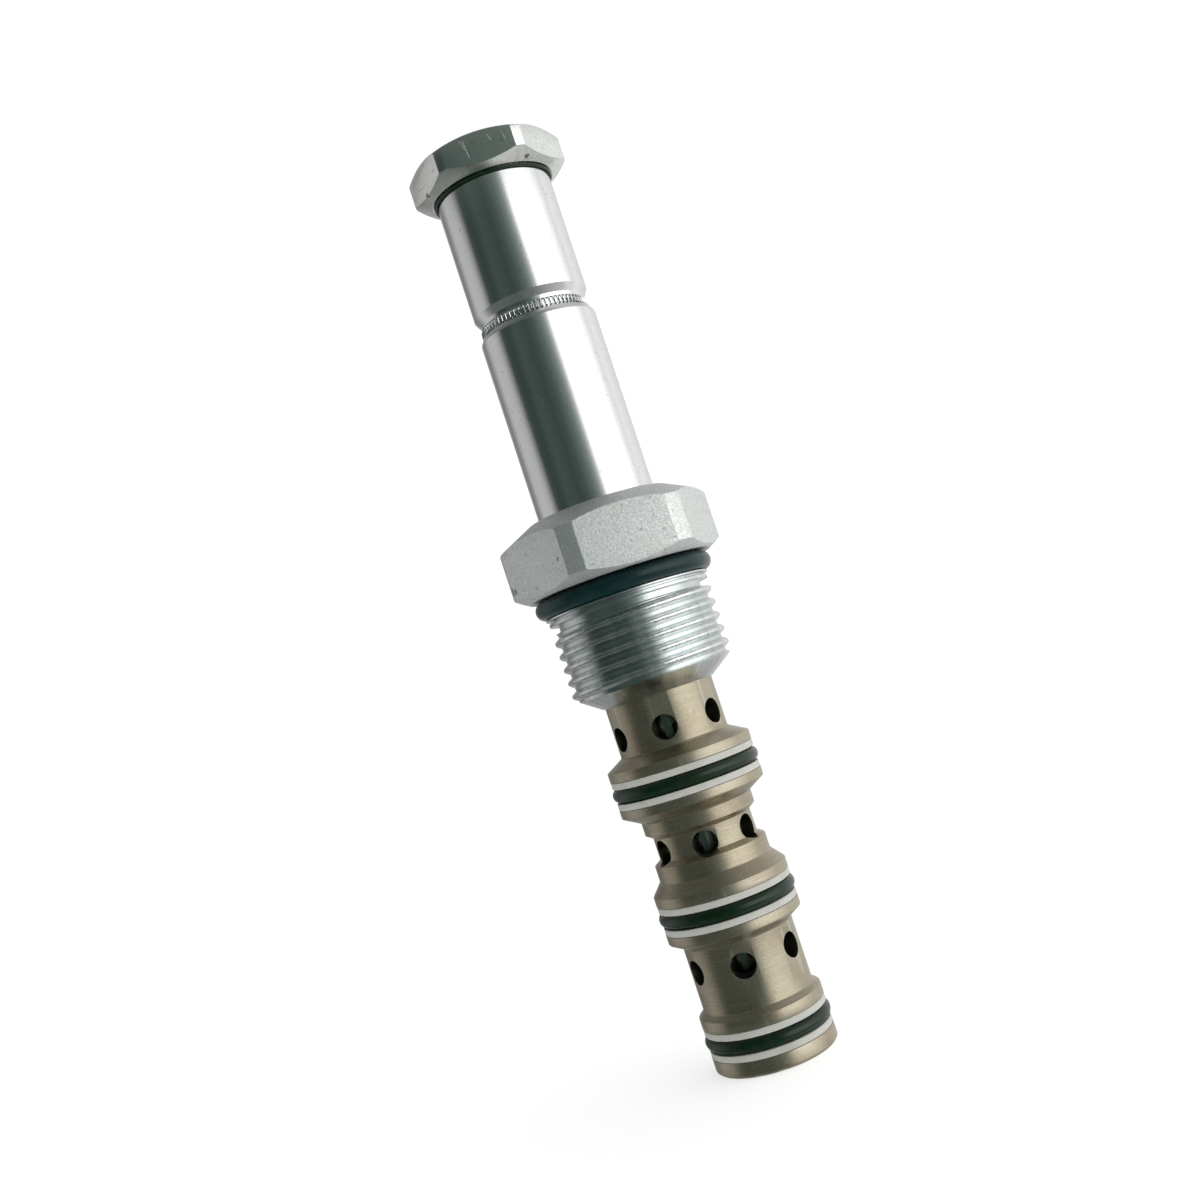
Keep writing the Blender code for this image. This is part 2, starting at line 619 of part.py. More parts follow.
def make_armature(home, tools, coat):
    bore = LINK_ROD + PRESS_GAP
    outline = [
        (ARMATURE_OUT - 0.3, ARMATURE_TOP), (ARMATURE_OUT, ARMATURE_TOP - 0.3),
        (ARMATURE_OUT, ARMATURE_FOOT + 0.3), (ARMATURE_OUT - 0.3, ARMATURE_FOOT),
        (bore, ARMATURE_FOOT), (bore, POCKET_FLOOR), (POCKET, POCKET_FLOOR),
        (POCKET, ARMATURE_TOP)]
    piece = turned("armature", outline, home, True)
    paint(piece, coat)
    tall = ARMATURE_TOP - ARMATURE_FOOT + 10.0
    middle = (ARMATURE_TOP + ARMATURE_FOOT) / 2.0
    for side, name in ((1.0, "armature_slot_right"), (-1.0, "armature_slot_left")):
        centre = (0.0, side * (ARMATURE_OUT + 8.7), middle)
        carve(piece, block(name, (ARMATURE_SLOT, 20.0, tall), centre, tools))
    return piece


def make_spring(home, coat):
    """A wire coil with one closed turn at each end."""
    low = POCKET_FLOOR + REST_GAP + SPRING_WIRE / 2.0
    high = POLE_FACE + POLE_POCKET_DEPTH - REST_GAP - SPRING_WIRE / 2.0
    per_turn = 14
    count = SPRING_TURNS * per_turn
    closed = SPRING_WIRE * 1.06
    open_turns = SPRING_TURNS - 2.0
    open_rise = (high - low - 2.0 * closed) / open_turns
    path = bpy.data.curves.new("return_spring_path", "CURVE")
    path.dimensions = "3D"
    path.bevel_depth = SPRING_WIRE / 2.0 * MM
    path.bevel_resolution = 0
    path.use_fill_caps = True
    line = path.splines.new("POLY")
    line.points.add(count)
    for spot in range(count + 1):
        turn = spot / per_turn
        rise = closed * min(turn, 1.0)
        rise += open_rise * min(max(turn - 1.0, 0.0), open_turns)
        rise += closed * max(turn - 1.0 - open_turns, 0.0)
        heading = 2.0 * math.pi * turn
        place = (SPRING_MEAN * math.cos(heading), SPRING_MEAN * math.sin(heading), low + rise)
        line.points[spot].co = [part * MM for part in place] + [1.0]
    wire = add_object("return_spring_wire", path, home)
    mesh = finished_mesh(wire)
    bpy.data.objects.remove(wire, do_unlink=True)
    tidy_mesh(mesh, True, False)
    piece = add_object("return_spring", mesh, home)
    paint(piece, coat)
    return piece


def make_clip(home, tools, coat):
    inside = CAGE_BORE - CLIP_REACH
    low = CLIP_LOW + SEAL_GAP
    piece = flat_ring("nose_clip", inside, CAGE_BORE + CLIP_BITE, low, low + CLIP_THICK, coat, home)
    carve(piece, block("clip_gap", (6.0, CLIP_GAP, 3.0), (5.0, 0.0, CLIP_LOW), tools, 0.0))
    return piece


def make_land_seals(home, rubber, plastic):
    lands = (
        ("upper", LAND_UPPER, UPPER_GROOVE),
        ("middle", LAND_MIDDLE, MIDDLE_GROOVE),
        ("lower", LAND_LOWER, NOSE_RIM))
    for place, land, groove in lands:
        inside = groove_floor(land) + SEAL_GAP
        outside = land - BACKUP_SHY
        low = groove + SEAL_GAP
        high = groove + GROOVE_WIDTH - SEAL_GAP
        middle = groove + GROOVE_WIDTH / 2.0
        seal_ring("seal_" + place, inside, SEAL_CORD, middle, rubber, home)
        flat_ring("backup_" + place + "_below", inside, outside, low, low + BACKUP_THICK, plastic, home)
        flat_ring("backup_" + place + "_above", inside, outside, high - BACKUP_THICK, high, plastic, home)


def make_other_seals(home, rubber):
    gland_middle = HEX_UNDER - REST_GAP - GLAND_CORD / 2.0
    seal_ring("seal_adapter", GLAND_NECK + SEAL_GAP, GLAND_CORD, gland_middle, rubber, home)
    tube_middle = TUBE_FOOT + TUBE_SEAL_RISE + 0.25 + TUBE_SEAL_CORD / 2.0
    seal_ring("seal_tube", TUBE_OUT + SEAL_GAP, TUBE_SEAL_CORD, tube_middle, rubber, home)
    nut_middle = NUT_FOOT - REST_GAP - NUT_CORD / 2.0
    seal_ring("seal_nut", POLE_OUT + SEAL_GAP, NUT_CORD, nut_middle, rubber, home)


def build():
    clear_scene()
    valve = new_collection("cartridge_valve")
    tools = new_collection("cutters")
    tools.hide_render = True

    cage_steel = new_material("cage_steel", (0.42, 0.38, 0.32), 1.0, 0.32)
    zinc = new_material("zinc_plate", (0.62, 0.63, 0.62), 1.0, 0.38)
    tube_zinc = new_material("bright_plate", (0.70, 0.71, 0.71), 1.0, 0.18)
    nut_zinc = new_material("nut_plate", (0.55, 0.57, 0.57), 1.0, 0.30)
    hard_steel = new_material("hard_steel", (0.52, 0.52, 0.53), 1.0, 0.2)
    soft_iron = new_material("soft_iron", (0.45, 0.44, 0.42), 1.0, 0.4)
    spring_steel = new_material("spring_steel", (0.40, 0.40, 0.42), 1.0, 0.3)
    brass = new_material("shim_brass", (0.72, 0.55, 0.26), 1.0, 0.3)
    rubber = new_material("black_rubber", (0.015, 0.02, 0.017), 0.0, 0.45)
    plastic = new_material("white_backup", (0.82, 0.82, 0.78), 0.0, 0.55)

    make_adapter(valve, tools, zinc)
    make_cage(valve, tools, cage_steel)
    make_tube(valve, tube_zinc)
    make_pole(valve, tools, tube_zinc)
    make_nut(valve, tools, nut_zinc)
    make_spool(valve, tools, hard_steel)
    make_link(valve, tools, hard_steel)
    make_armature(valve, tools, soft_iron)
    make_spring(valve, spring_steel)
    make_clip(valve, tools, spring_steel)
    flat_ring("gap_shim", POCKET + 0.1, TUBE_IN - 0.55, SHIM_FOOT, SHIM_TOP, brass, valve)
    make_land_seals(valve, rubber, plastic)
    make_other_seals(valve, rubber)


build()
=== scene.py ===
import math

import bmesh
import bpy
from mathutils import Matrix, Vector


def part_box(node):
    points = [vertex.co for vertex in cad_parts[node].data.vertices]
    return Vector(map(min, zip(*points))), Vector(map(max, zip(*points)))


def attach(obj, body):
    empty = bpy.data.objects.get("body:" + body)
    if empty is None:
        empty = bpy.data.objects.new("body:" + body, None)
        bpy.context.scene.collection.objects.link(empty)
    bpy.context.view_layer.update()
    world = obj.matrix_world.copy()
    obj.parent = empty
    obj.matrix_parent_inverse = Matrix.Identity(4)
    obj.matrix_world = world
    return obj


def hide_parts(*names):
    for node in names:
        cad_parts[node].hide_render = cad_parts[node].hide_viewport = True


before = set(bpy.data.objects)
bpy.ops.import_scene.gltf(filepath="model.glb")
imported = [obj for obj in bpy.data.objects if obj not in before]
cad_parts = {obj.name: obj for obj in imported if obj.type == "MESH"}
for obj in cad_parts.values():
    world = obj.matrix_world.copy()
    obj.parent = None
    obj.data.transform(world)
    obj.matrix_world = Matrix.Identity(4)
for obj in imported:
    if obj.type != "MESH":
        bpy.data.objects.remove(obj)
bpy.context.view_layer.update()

mm = 0.001
roundSteps = 160      # facets round a turned piece
arcSteps = 3                              # facets in one rounded edge


# ---- heights and radii taken from the frame, in millimetres
def nodeBox(node):
    low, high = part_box(node)
    return [part / mm for part in low], [part / mm for part in high]


def nodeFoot(node):
    return nodeBox(node)[0][2]


def nodeTop(node):
    return nodeBox(node)[1][2]


def nodeRadius(node):
    low, high = nodeBox(node)
    return (high[1] - low[1]) / 2.0


hexTop = nodeTop("hex_adapter")
adapterFoot = nodeFoot("hex_adapter")
tubeTop = nodeTop("guide_tube")
tubeFoot = nodeFoot("guide_tube")
tubeRadius = nodeRadius("guide_tube")
cageTop = nodeTop("cage")
nutFoot = nodeFoot("coil_nut")
nutTop = nodeTop("coil_nut")
studTop = nodeTop("pole_piece")
plugFoot = nodeFoot("pole_piece")
hexHeight = 9.75
glandTop = hexTop - hexHeight             # underside of the hex
print("frame read: valve %.1f mm tall" % studTop)


# ---- mesh tools
def addPiece(name, mesh):
    piece = bpy.data.objects.new(name, mesh)
    bpy.context.scene.collection.objects.link(piece)
    return piece


def roundedOutline(corners, closed):
    # corners are (radius, height, fillet); a fillet turns the corner into a small arc
    count = len(corners)
    points = []
    for spot, (radius, height, fillet) in enumerate(corners):
        here = Vector((radius, height))
        if fillet <= 0.0 or (not closed and spot in (0, count - 1)):
            points.append(here)
            continue
        before = Vector(corners[spot - 1][:2])
        after = Vector(corners[(spot + 1) % count][:2])
        into = (before - here).normalized()
        out = (after - here).normalized()
        bend = into.angle(out)
        if bend > math.radians(176.0):
            points.append(here)
            continue
        reach = fillet / math.tan(bend / 2.0)
        reach = min(reach, 0.49 * (before - here).length, 0.49 * (after - here).length)
        size = reach * math.tan(bend / 2.0)
        centre = here + (into + out).normalized() * (size / math.sin(bend / 2.0))
        first = here + into * reach - centre
        last = here + out * reach - centre
        sweep = first.angle_signed(last)
        for step in range(arcSteps + 1):
            turn = -sweep * step / arcSteps
            spun = Matrix.Rotation(turn, 2) @ first
            points.append(centre + spun)
    return points


def turnedMesh(name, corners, closed=True, steps=None):
    # spins an outline round the valve axis; an open outline starts and ends on the axis
    steps = steps or roundSteps
    outline = roundedOutline(corners, closed)
    work = bmesh.new()
    rings = []
    for point in outline:
        radius, height = point[0] * mm, point[1] * mm
        if radius < 1e-7:
            rings.append([work.verts.new((0.0, 0.0, height))])
            continue
        ring = []
        for step in range(steps):
            angle = 2.0 * math.pi * step / steps
            ring.append(work.verts.new((radius * math.cos(angle), radius * math.sin(angle), height)))
        rings.append(ring)
    last = len(rings) if closed else len(rings) - 1
    for spot in range(last):
        upper, lower = rings[spot], rings[(spot + 1) % len(rings)]
        for step in range(steps):
            after = (step + 1) % steps
            if len(upper) == 1:
                work.faces.new((upper[0], lower[step], lower[after]))
            elif len(lower) == 1:
                work.faces.new((upper[step], lower[0], upper[after]))
            else:
                work.faces.new((upper[step], lower[step], lower[after], upper[after]))
    bmesh.ops.recalc_face_normals(work, faces=work.faces)
    mesh = bpy.data.meshes.new(name)
    work.to_mesh(mesh)
    work.free()
    return mesh


def helixMesh(name, section, start, turns, pitch, steps):
    # a right-hand helical bar with the given (radius, height) section, closed at both ends
    work = bmesh.new()
    rings = []
    total = int(turns * steps)
    for step in range(total + 1):
        angle = 2.0 * math.pi * step / steps
        rise = start + pitch * step / steps
        ring = []
        for radius, height in section:
            ring.append(work.verts.new((
                radius * math.cos(angle) * mm, radius * math.sin(angle) * mm, (rise + height) * mm)))
        rings.append(ring)
    width = len(section)
    for step in range(total):
        for side in range(width):
            after = (side + 1) % width
            work.faces.new((rings[step][side], rings[step][after],
                            rings[step + 1][after], rings[step + 1][side]))
    work.faces.new(rings[0])
    work.faces.new(list(reversed(rings[-1])))
    bmesh.ops.recalc_face_normals(work, faces=work.faces)
    mesh = bpy.data.meshes.new(name)
    work.to_mesh(mesh)
    work.free()
    return mesh


def hexMesh(name, flats, low, high, turn):
    # turn is the heading of one flat, from -Y toward +X
    work = bmesh.new()
    corner = flats / math.sqrt(3.0) * mm
    spin = Matrix.Rotation(math.radians(turn + 30.0), 4, "Z")
    place = Matrix.Translation((0.0, 0.0, (low + high) / 2.0 * mm)) @ spin
    bmesh.ops.create_cone(work, cap_ends=True, segments=6, radius1=corner, radius2=corner,
                          depth=(high - low) * mm, matrix=place)
    mesh = bpy.data.meshes.new(name)
    work.to_mesh(mesh)
    work.free()
    return mesh


def carve(piece, meshes, kind="DIFFERENCE"):
    # cuts the piece with each mesh in turn and keeps the result as its own mesh
    for mesh in meshes:
        cutter = addPiece("cutter", mesh)
        step = piece.modifiers.new("carve", "BOOLEAN")
        step.operation = kind
        step.solver = "EXACT"
        step.object = cutter
        bpy.context.view_layer.update()
        graph = bpy.context.evaluated_depsgraph_get()
        carved = bpy.data.meshes.new_from_object(piece.evaluated_get(graph))
        piece.modifiers.clear()
        piece.data = carved
        bpy.data.objects.remove(cutter, do_unlink=True)


def softenEdges(piece, width, angle=30.0, steps=3):
    edge = piece.modifiers.new("edges", "BEVEL")
    edge.width = width * mm
    edge.segments = steps
    edge.limit_method = "ANGLE"
    edge.angle_limit = math.radians(angle)
    edge.use_clamp_overlap = True
    bakeModifiers(piece)


def bakeModifiers(piece):
    bpy.context.view_layer.update()
    graph = bpy.context.evaluated_depsgraph_get()
    finished = bpy.data.meshes.new_from_object(piece.evaluated_get(graph))
    piece.modifiers.clear()
    piece.data = finished


def smooth(piece, angle=32.0):
    piece.data.shade_smooth()
    piece.data.set_sharp_from_angle(angle=math.radians(angle))


def drillMesh(name, rows, near, far, sides):
    # round cutters that run outward from the axis: (height, turn, radius, count) for each row
    work = bmesh.new()
    for height, turn, radius, count in rows:
        for spot in range(count):
            heading = math.radians(turn + 360.0 * spot / count)
            out = Vector((math.sin(heading), -math.cos(heading), 0.0))
            across = Vector((math.cos(heading), math.sin(heading), 0.0))
            frameOf = Matrix((
                (across[0], 0.0, out[0], out[0] * (near + far) / 2.0 * mm),
                (across[1], 0.0, out[1], out[1] * (near + far) / 2.0 * mm),
                (0.0, 1.0, 0.0, height * mm), (0.0, 0.0, 0.0, 1.0)))
            bmesh.ops.create_cone(work, cap_ends=True, segments=sides, radius1=radius * mm,
                                  radius2=radius * mm, depth=(far - near) * mm, matrix=frameOf)
    bmesh.ops.recalc_face_normals(work, faces=work.faces)
    mesh = bpy.data.meshes.new(name)
    work.to_mesh(mesh)
    work.free()
    return mesh


def finishPiece(piece, coat, node, body, angle=32.0):
    smooth(piece, angle)
    piece.data.materials.clear()
    piece.data.materials.append(coat)
    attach(piece, body)
    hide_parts(node)


# ---- materials
def newCoat(name):
    coat = bpy.data.materials.new(name)
    coat.use_nodes = True
    tree = coat.node_tree
    shader = tree.nodes["Principled BSDF"]
    return coat, tree, shader


def addNode(tree, kind, **values):
    node = tree.nodes.new(kind)
    for name, value in values.items():
        setattr(node, name, value)
    return node


def placeNoise(tree, coord, scale, detail, rough, stretch=(1.0, 1.0, 1.0), lean=0.0):
    # a noise whose scale counts cells in a millimetre
    mapping = addNode(tree, "ShaderNodeMapping")
    mapping.inputs["Rotation"].default_value = (lean, lean * 0.6, 0.0)
    mapping.inputs["Scale"].default_value = [part * 1000.0 for part in stretch]
    tree.links.new(coord, mapping.inputs["Vector"])
    noise = addNode(tree, "ShaderNodeTexNoise")
    noise.inputs["Scale"].default_value = scale
    noise.inputs["Detail"].default_value = detail
    noise.inputs["Roughness"].default_value = rough
    tree.links.new(mapping.outputs["Vector"], noise.inputs["Vector"])
    return noise.outputs["Fac"]


def rampOf(tree, source, low, high, lowValue=0.0, highValue=1.0):
    ramp = addNode(tree, "ShaderNodeMapRange")
    ramp.clamp = True
    ramp.inputs["From Min"].default_value = low
    ramp.inputs["From Max"].default_value = high
    ramp.inputs["To Min"].default_value = lowValue
    ramp.inputs["To Max"].default_value = highValue
    tree.links.new(source, ramp.inputs["Value"])
    return ramp.outputs["Result"]


def mixColour(tree, share, first, second):
    mix = addNode(tree, "ShaderNodeMix", data_type="RGBA")
    sockets = [slot for slot in mix.inputs if slot.enabled]
    for socket, value in zip(sockets, (share, first, second)):
        if isinstance(value, bpy.types.NodeSocket):
            tree.links.new(value, socket)
        elif isinstance(value, tuple):
            socket.default_value = (value[0], value[1], value[2], 1.0)
        else:
            socket.default_value = value
    return [slot for slot in mix.outputs if slot.enabled][0]


def addBump(tree, height, strength, depth, before=None):
    bump = addNode(tree, "ShaderNodeBump")
    bump.inputs["Strength"].default_value = strength
    bump.inputs["Distance"].default_value = depth * mm
    tree.links.new(height, bump.inputs["Height"])
    if before:
        tree.links.new(before, bump.inputs["Normal"])
    return bump.outputs["Normal"]


def nickAt(tree, coord, spot, count):
    # a ragged dark nick; spot is (x, y, z, size) in millimetres
    away = addNode(tree, "ShaderNodeVectorMath", operation="DISTANCE")
    tree.links.new(coord, away.inputs[0])
    away.inputs[1].default_value = (spot[0] * mm, spot[1] * mm, spot[2] * mm)
    ragged = addNode(tree, "ShaderNodeMath", operation="MULTIPLY_ADD")
    tree.links.new(placeNoise(tree, coord, count, 3.0, 0.6), ragged.inputs[0])
    ragged.inputs[1].default_value = spot[3] * 3.0 * mm
    tree.links.new(away.outputs["Value"], ragged.inputs[2])
    size = spot[3] * mm
    return rampOf(tree, ragged.outputs[0], size * 2.1, size * 2.4, 0.85, 0.0)


def scratchAt(tree, coord, start, end, width):
    # a straight scratch between two points, in millimetres
    first, last = Vector(start) * mm, Vector(end) * mm
    away = addNode(tree, "ShaderNodeVectorMath", operation="SUBTRACT")
    tree.links.new(coord, away.inputs[0])
    away.inputs[1].default_value = first
    across = addNode(tree, "ShaderNodeVectorMath", operation="CROSS_PRODUCT")
    tree.links.new(away.outputs[0], across.inputs[0])
    across.inputs[1].default_value = (last - first).normalized()
    size = addNode(tree, "ShaderNodeVectorMath", operation="LENGTH")
    tree.links.new(across.outputs[0], size.inputs[0])
    reach = addNode(tree, "ShaderNodeVectorMath", operation="DISTANCE")
    tree.links.new(coord, reach.inputs[0])
    reach.inputs[1].default_value = (first + last) / 2.0
    half = (last - first).length / 2.0
    line = rampOf(tree, size.outputs["Value"], width * 0.4 * mm, width * mm, 1.0, 0.0)
    inside = rampOf(tree, reach.outputs["Value"], half * 0.7, half, 1.0, 0.0)
    both = addNode(tree, "ShaderNodeMath", operation="MULTIPLY")
    tree.links.new(line, both.inputs[0])
    tree.links.new(inside, both.inputs[1])
    return both.outputs[0]


def metalCoat(name, look):
    coat, tree, shader = newCoat(name)
    coord = addNode(tree, "ShaderNodeTexCoord").outputs["Object"]
    lines = placeNoise(tree, coord, look["lineCount"], 3.0, 0.6, (0.02, 0.02, 1.0))
    grain = placeNoise(tree, coord, look["grainCount"], 5.0, 0.62)
    cloud = placeNoise(tree, coord, look["cloudCount"], 3.0, 0.55)
    speck = placeNoise(tree, coord, look["speckCount"], 2.0, 0.5)
    colour = mixColour(tree, rampOf(tree, grain, 0.35, 0.65), look["tint"], look["grainTint"])
    turned = rampOf(tree, lines, 0.4, 0.7, 0.0, look["lineShade"])
    colour = mixColour(tree, turned, colour, look["darkTint"])
    stained = rampOf(tree, cloud, 0.5, 0.72, 0.0, look["stain"])
    colour = mixColour(tree, stained, colour, look["stainTint"])
    spotted = rampOf(tree, speck, 0.68, 0.74, 0.0, look["speck"])
    colour = mixColour(tree, spotted, colour, look["darkTint"])
    marks = [scratchAt(tree, coord, *line) for line in look["scratches"]]
    if look["scratch"] > 0.0:
        for lean, stretch in ((0.5, (1.0, 1.0, 0.08)), (-0.9, (0.12, 0.12, 1.0))):
            path = placeNoise(tree, coord, look["scratchCount"], 1.0, 0.4, stretch, lean)
            line = addNode(tree, "ShaderNodeMath", operation="COMPARE")
            line.inputs[1].default_value = 0.5
            line.inputs[2].default_value = 0.006
            tree.links.new(path, line.inputs[0])
            faded = addNode(tree, "ShaderNodeMath", operation="MULTIPLY")
            tree.links.new(line.outputs[0], faded.inputs[0])
            tree.links.new(rampOf(tree, cloud, 0.5, 0.66, 0.0, look["scratch"]), faded.inputs[1])
            marks.append(faded.outputs[0])
    for mark in marks:
        colour = mixColour(tree, mark, colour, look["edgeTint"])
    for spot in look["nicks"]:
        colour = mixColour(tree, nickAt(tree, coord, spot, look["speckCount"]), colour, look["darkTint"])
    # convex edges are lightened: partly edge wear, partly a painted highlight along the edges
    if look["edgeShine"] > 0.0:
        point = addNode(tree, "ShaderNodeNewGeometry").outputs["Pointiness"]
        edgeWearAndHighlight = rampOf(tree, point, 0.515, 0.56, 0.0, look["edgeShine"])
        colour = mixColour(tree, edgeWearAndHighlight, colour, look["edgeTint"])
    tree.links.new(colour, shader.inputs["Base Color"])
    rough = look["rough"]
    spread = look["roughSpread"]
    roughness = rampOf(tree, grain, 0.3, 0.7, rough - spread, rough + spread)
    for mark in marks:                    # a scratch scatters light, so it is rough as well as bright
        dulled = addNode(tree, "ShaderNodeMath", operation="MULTIPLY")
        tree.links.new(mark, dulled.inputs[0])
        dulled.inputs[1].default_value = 0.8
        most = addNode(tree, "ShaderNodeMath", operation="MAXIMUM")
        tree.links.new(dulled.outputs[0], most.inputs[0])
        tree.links.new(roughness, most.inputs[1])
        roughness = most.outputs[0]
    tree.links.new(roughness, shader.inputs["Roughness"])
    normal = addBump(tree, grain, look["grainBump"], look["grainDepth"])
    normal = addBump(tree, lines, look["lineBump"], look["lineDepth"], normal)
    tree.links.new(normal, shader.inputs["Normal"])
    shader.inputs["Metallic"].default_value = look["metal"]
    return coat


plainMetal = {
    "tint": (0.62, 0.63, 0.62), "grainTint": (0.55, 0.56, 0.55), "darkTint": (0.16, 0.15, 0.13),
    "stainTint": (0.40, 0.37, 0.31), "edgeTint": (0.9, 0.9, 0.88), "rough": 0.3, "roughSpread": 0.06,
    "lineCount": 6.0, "lineShade": 0.1, "lineBump": 0.1, "lineDepth": 0.02,
    "grainCount": 4.0, "grainBump": 0.15, "grainDepth": 0.03, "cloudCount": 0.12, "stain": 0.2,
    "speckCount": 2.2, "speck": 0.3, "edgeShine": 0.3, "metal": 1.0, "scratch": 0.25, "scratchCount": 0.5,
    "nicks": (), "scratches": ()}


def metalLook(**changes):
    look = dict(plainMetal)
    look.update(changes)
    return look


hexZinc = metalCoat("hexZinc", metalLook(
    tint=(0.92, 0.94, 0.91), grainTint=(0.62, 0.66, 0.64), darkTint=(0.10, 0.10, 0.09), rough=0.47,
    roughSpread=0.12, grainCount=4.2, grainBump=0.6, grainDepth=0.07, lineShade=0.0, lineBump=0.0,
    stain=0.12, speck=0.35, speckCount=1.3, edgeShine=0.4, metal=0.82, scratch=0.5,
    nicks=((-13.85, -3.8, 67.3, 0.9), (-6.6, -12.3, 68.6, 0.45), (-7.1, -12.1, 67.5, 0.35))))
threadZinc = metalCoat("threadZinc", metalLook(
    tint=(0.74, 0.79, 0.78), grainTint=(0.60, 0.66, 0.66), rough=0.22, roughSpread=0.06,
    grainCount=5.0, grainBump=0.25, grainDepth=0.02, lineShade=0.1, edgeShine=0.6,
    stainTint=(0.50, 0.36, 0.31), stain=0.35))
tubeZinc = metalCoat("tubeZinc", metalLook(
    tint=(0.86, 0.87, 0.86), grainTint=(0.77, 0.79, 0.78), rough=0.13, roughSpread=0.05,
    lineCount=4.0, lineShade=0.04, lineBump=0.03, lineDepth=0.01, grainCount=5.0, grainBump=0.22,
    grainDepth=0.012, stain=0.08, speck=0.45, speckCount=1.9, scratch=0.5))
nutZinc = metalCoat("nutZinc", metalLook(
    tint=(0.84, 0.87, 0.83), grainTint=(0.72, 0.74, 0.70), darkTint=(0.09, 0.11, 0.10), rough=0.2,
    roughSpread=0.07, grainCount=2.4, grainBump=0.15, grainDepth=0.02, lineCount=2.0, lineShade=0.05,
    stain=0.15, speck=0.5, speckCount=1.1, edgeShine=0.6, scratch=0.9, scratchCount=0.3,
    scratches=(((-1.75, -9.5, 124.4), (-1.45, -9.5, 121.4), 0.09),
               ((-2.15, -9.5, 124.3), (-1.65, -9.5, 122.7), 0.06),
               ((1.5, -9.5, 124.1), (1.9, -9.5, 122.9), 0.07),
               ((3.4, -9.5, 123.9), (3.7, -9.5, 122.4), 0.06)),
    nicks=((-6.5, -7.75, 122.3, 0.3), (-8.5, -4.5, 120.8, 0.45), (5.6, -7.1, 120.5, 0.45),
           (8.8, -4.2, 120.9, 0.3))))
cageSteel = metalCoat("cageSteel", metalLook(
    tint=(0.46, 0.42, 0.31), grainTint=(0.40, 0.36, 0.26), darkTint=(0.16, 0.13, 0.09),
    stainTint=(0.33, 0.24, 0.18), rough=0.30, roughSpread=0.06, lineCount=9.0, lineShade=0.28,
    lineBump=0.3, lineDepth=0.02, grainCount=6.0, grainBump=0.08, stain=0.5, cloudCount=0.22,
    speck=0.2, edgeTint=(0.78, 0.74, 0.62), edgeShine=0.45, metal=0.9))
hardSteel = metalCoat("hardSteel", metalLook(
    tint=(0.32, 0.38, 0.33), grainTint=(0.25, 0.30, 0.26), rough=0.26, roughSpread=0.04,
    lineCount=14.0, lineShade=0.1, lineBump=0.1, lineDepth=0.01))
# dark coat for the cage bore and port hole walls: painted shade in the recesses
holeShadeSteel = metalCoat("holeShadeSteel", metalLook(
    tint=(0.16, 0.165, 0.105), grainTint=(0.11, 0.115, 0.07), rough=0.4, lineCount=8.0,
    lineShade=0.2, lineBump=0.2, edgeShine=0.0))
softIron = metalCoat("softIron", metalLook(
    tint=(0.46, 0.45, 0.43), grainTint=(0.40, 0.39, 0.37), rough=0.36, lineCount=8.0,
    lineShade=0.2, lineBump=0.2))
springWire = metalCoat("springWire", metalLook(
    tint=(0.40, 0.40, 0.41), grainTint=(0.34, 0.34, 0.35), rough=0.28, lineShade=0.0))
shimBrass = metalCoat("shimBrass", metalLook(
    tint=(0.78, 0.60, 0.30), grainTint=(0.70, 0.53, 0.25), darkTint=(0.3, 0.2, 0.08),
    stainTint=(0.55, 0.38, 0.16), edgeTint=(0.95, 0.8, 0.5)))

sealLook = {"name": "sealRubber", "tint": (0.002, 0.020, 0.006), "bloom": (0.018, 0.034, 0.022),
            "rough": 0.24, "gloss": 0.42}
glandLook = {"name": "glandRubber", "tint": (0.001, 0.022, 0.023), "bloom": (0.010, 0.032, 0.032),
             "rough": 0.24, "gloss": 0.34}
backupLook = {"tint": (0.64, 0.64, 0.59), "grime": (0.42, 0.41, 0.36), "rough": 0.45}


def rubberCoat(look):
    coat, tree, shader = newCoat(look["name"])
    coord = addNode(tree, "ShaderNodeTexCoord").outputs["Object"]
    dust = placeNoise(tree, coord, 0.5, 5.0, 0.6)
    fine = placeNoise(tree, coord, 5.0, 3.0, 0.5, (0.12, 0.12, 1.0))
    colour = mixColour(tree, rampOf(tree, dust, 0.42, 0.75, 0.0, 0.6), look["tint"], look["bloom"])
    tree.links.new(colour, shader.inputs["Base Color"])
    roughness = rampOf(tree, dust, 0.3, 0.7, look["rough"] - 0.08, look["rough"] + 0.12)
    tree.links.new(roughness, shader.inputs["Roughness"])
    tree.links.new(addBump(tree, fine, 0.25, 0.03), shader.inputs["Normal"])
    shader.inputs["Specular IOR Level"].default_value = look["gloss"]
    return coat


def backupCoat(look):
    coat, tree, shader = newCoat("backupPlastic")
    coord = addNode(tree, "ShaderNodeTexCoord").outputs["Object"]
    smear = placeNoise(tree, coord, 0.35, 4.0, 0.6)
    knife = placeNoise(tree, coord, 8.0, 3.0, 0.55, (0.05, 0.05, 1.0))
    colour = mixColour(tree, rampOf(tree, smear, 0.5, 0.8, 0.0, 0.5), look["tint"], look["grime"])
    tree.links.new(colour, shader.inputs["Base Color"])
    roughness = rampOf(tree, knife, 0.3, 0.7, look["rough"] - 0.06, look["rough"] + 0.06)
    tree.links.new(roughness, shader.inputs["Roughness"])
    tree.links.new(addBump(tree, knife, 0.15, 0.02), shader.inputs["Normal"])
    shader.inputs["Subsurface Weight"].default_value = 0.08
    shader.inputs["Subsurface Radius"].default_value = (0.0006, 0.0006, 0.0005)
    return coat


sealRubber = rubberCoat(sealLook)
glandRubber = rubberCoat(glandLook)
backupPlastic = backupCoat(backupLook)
print("materials made")


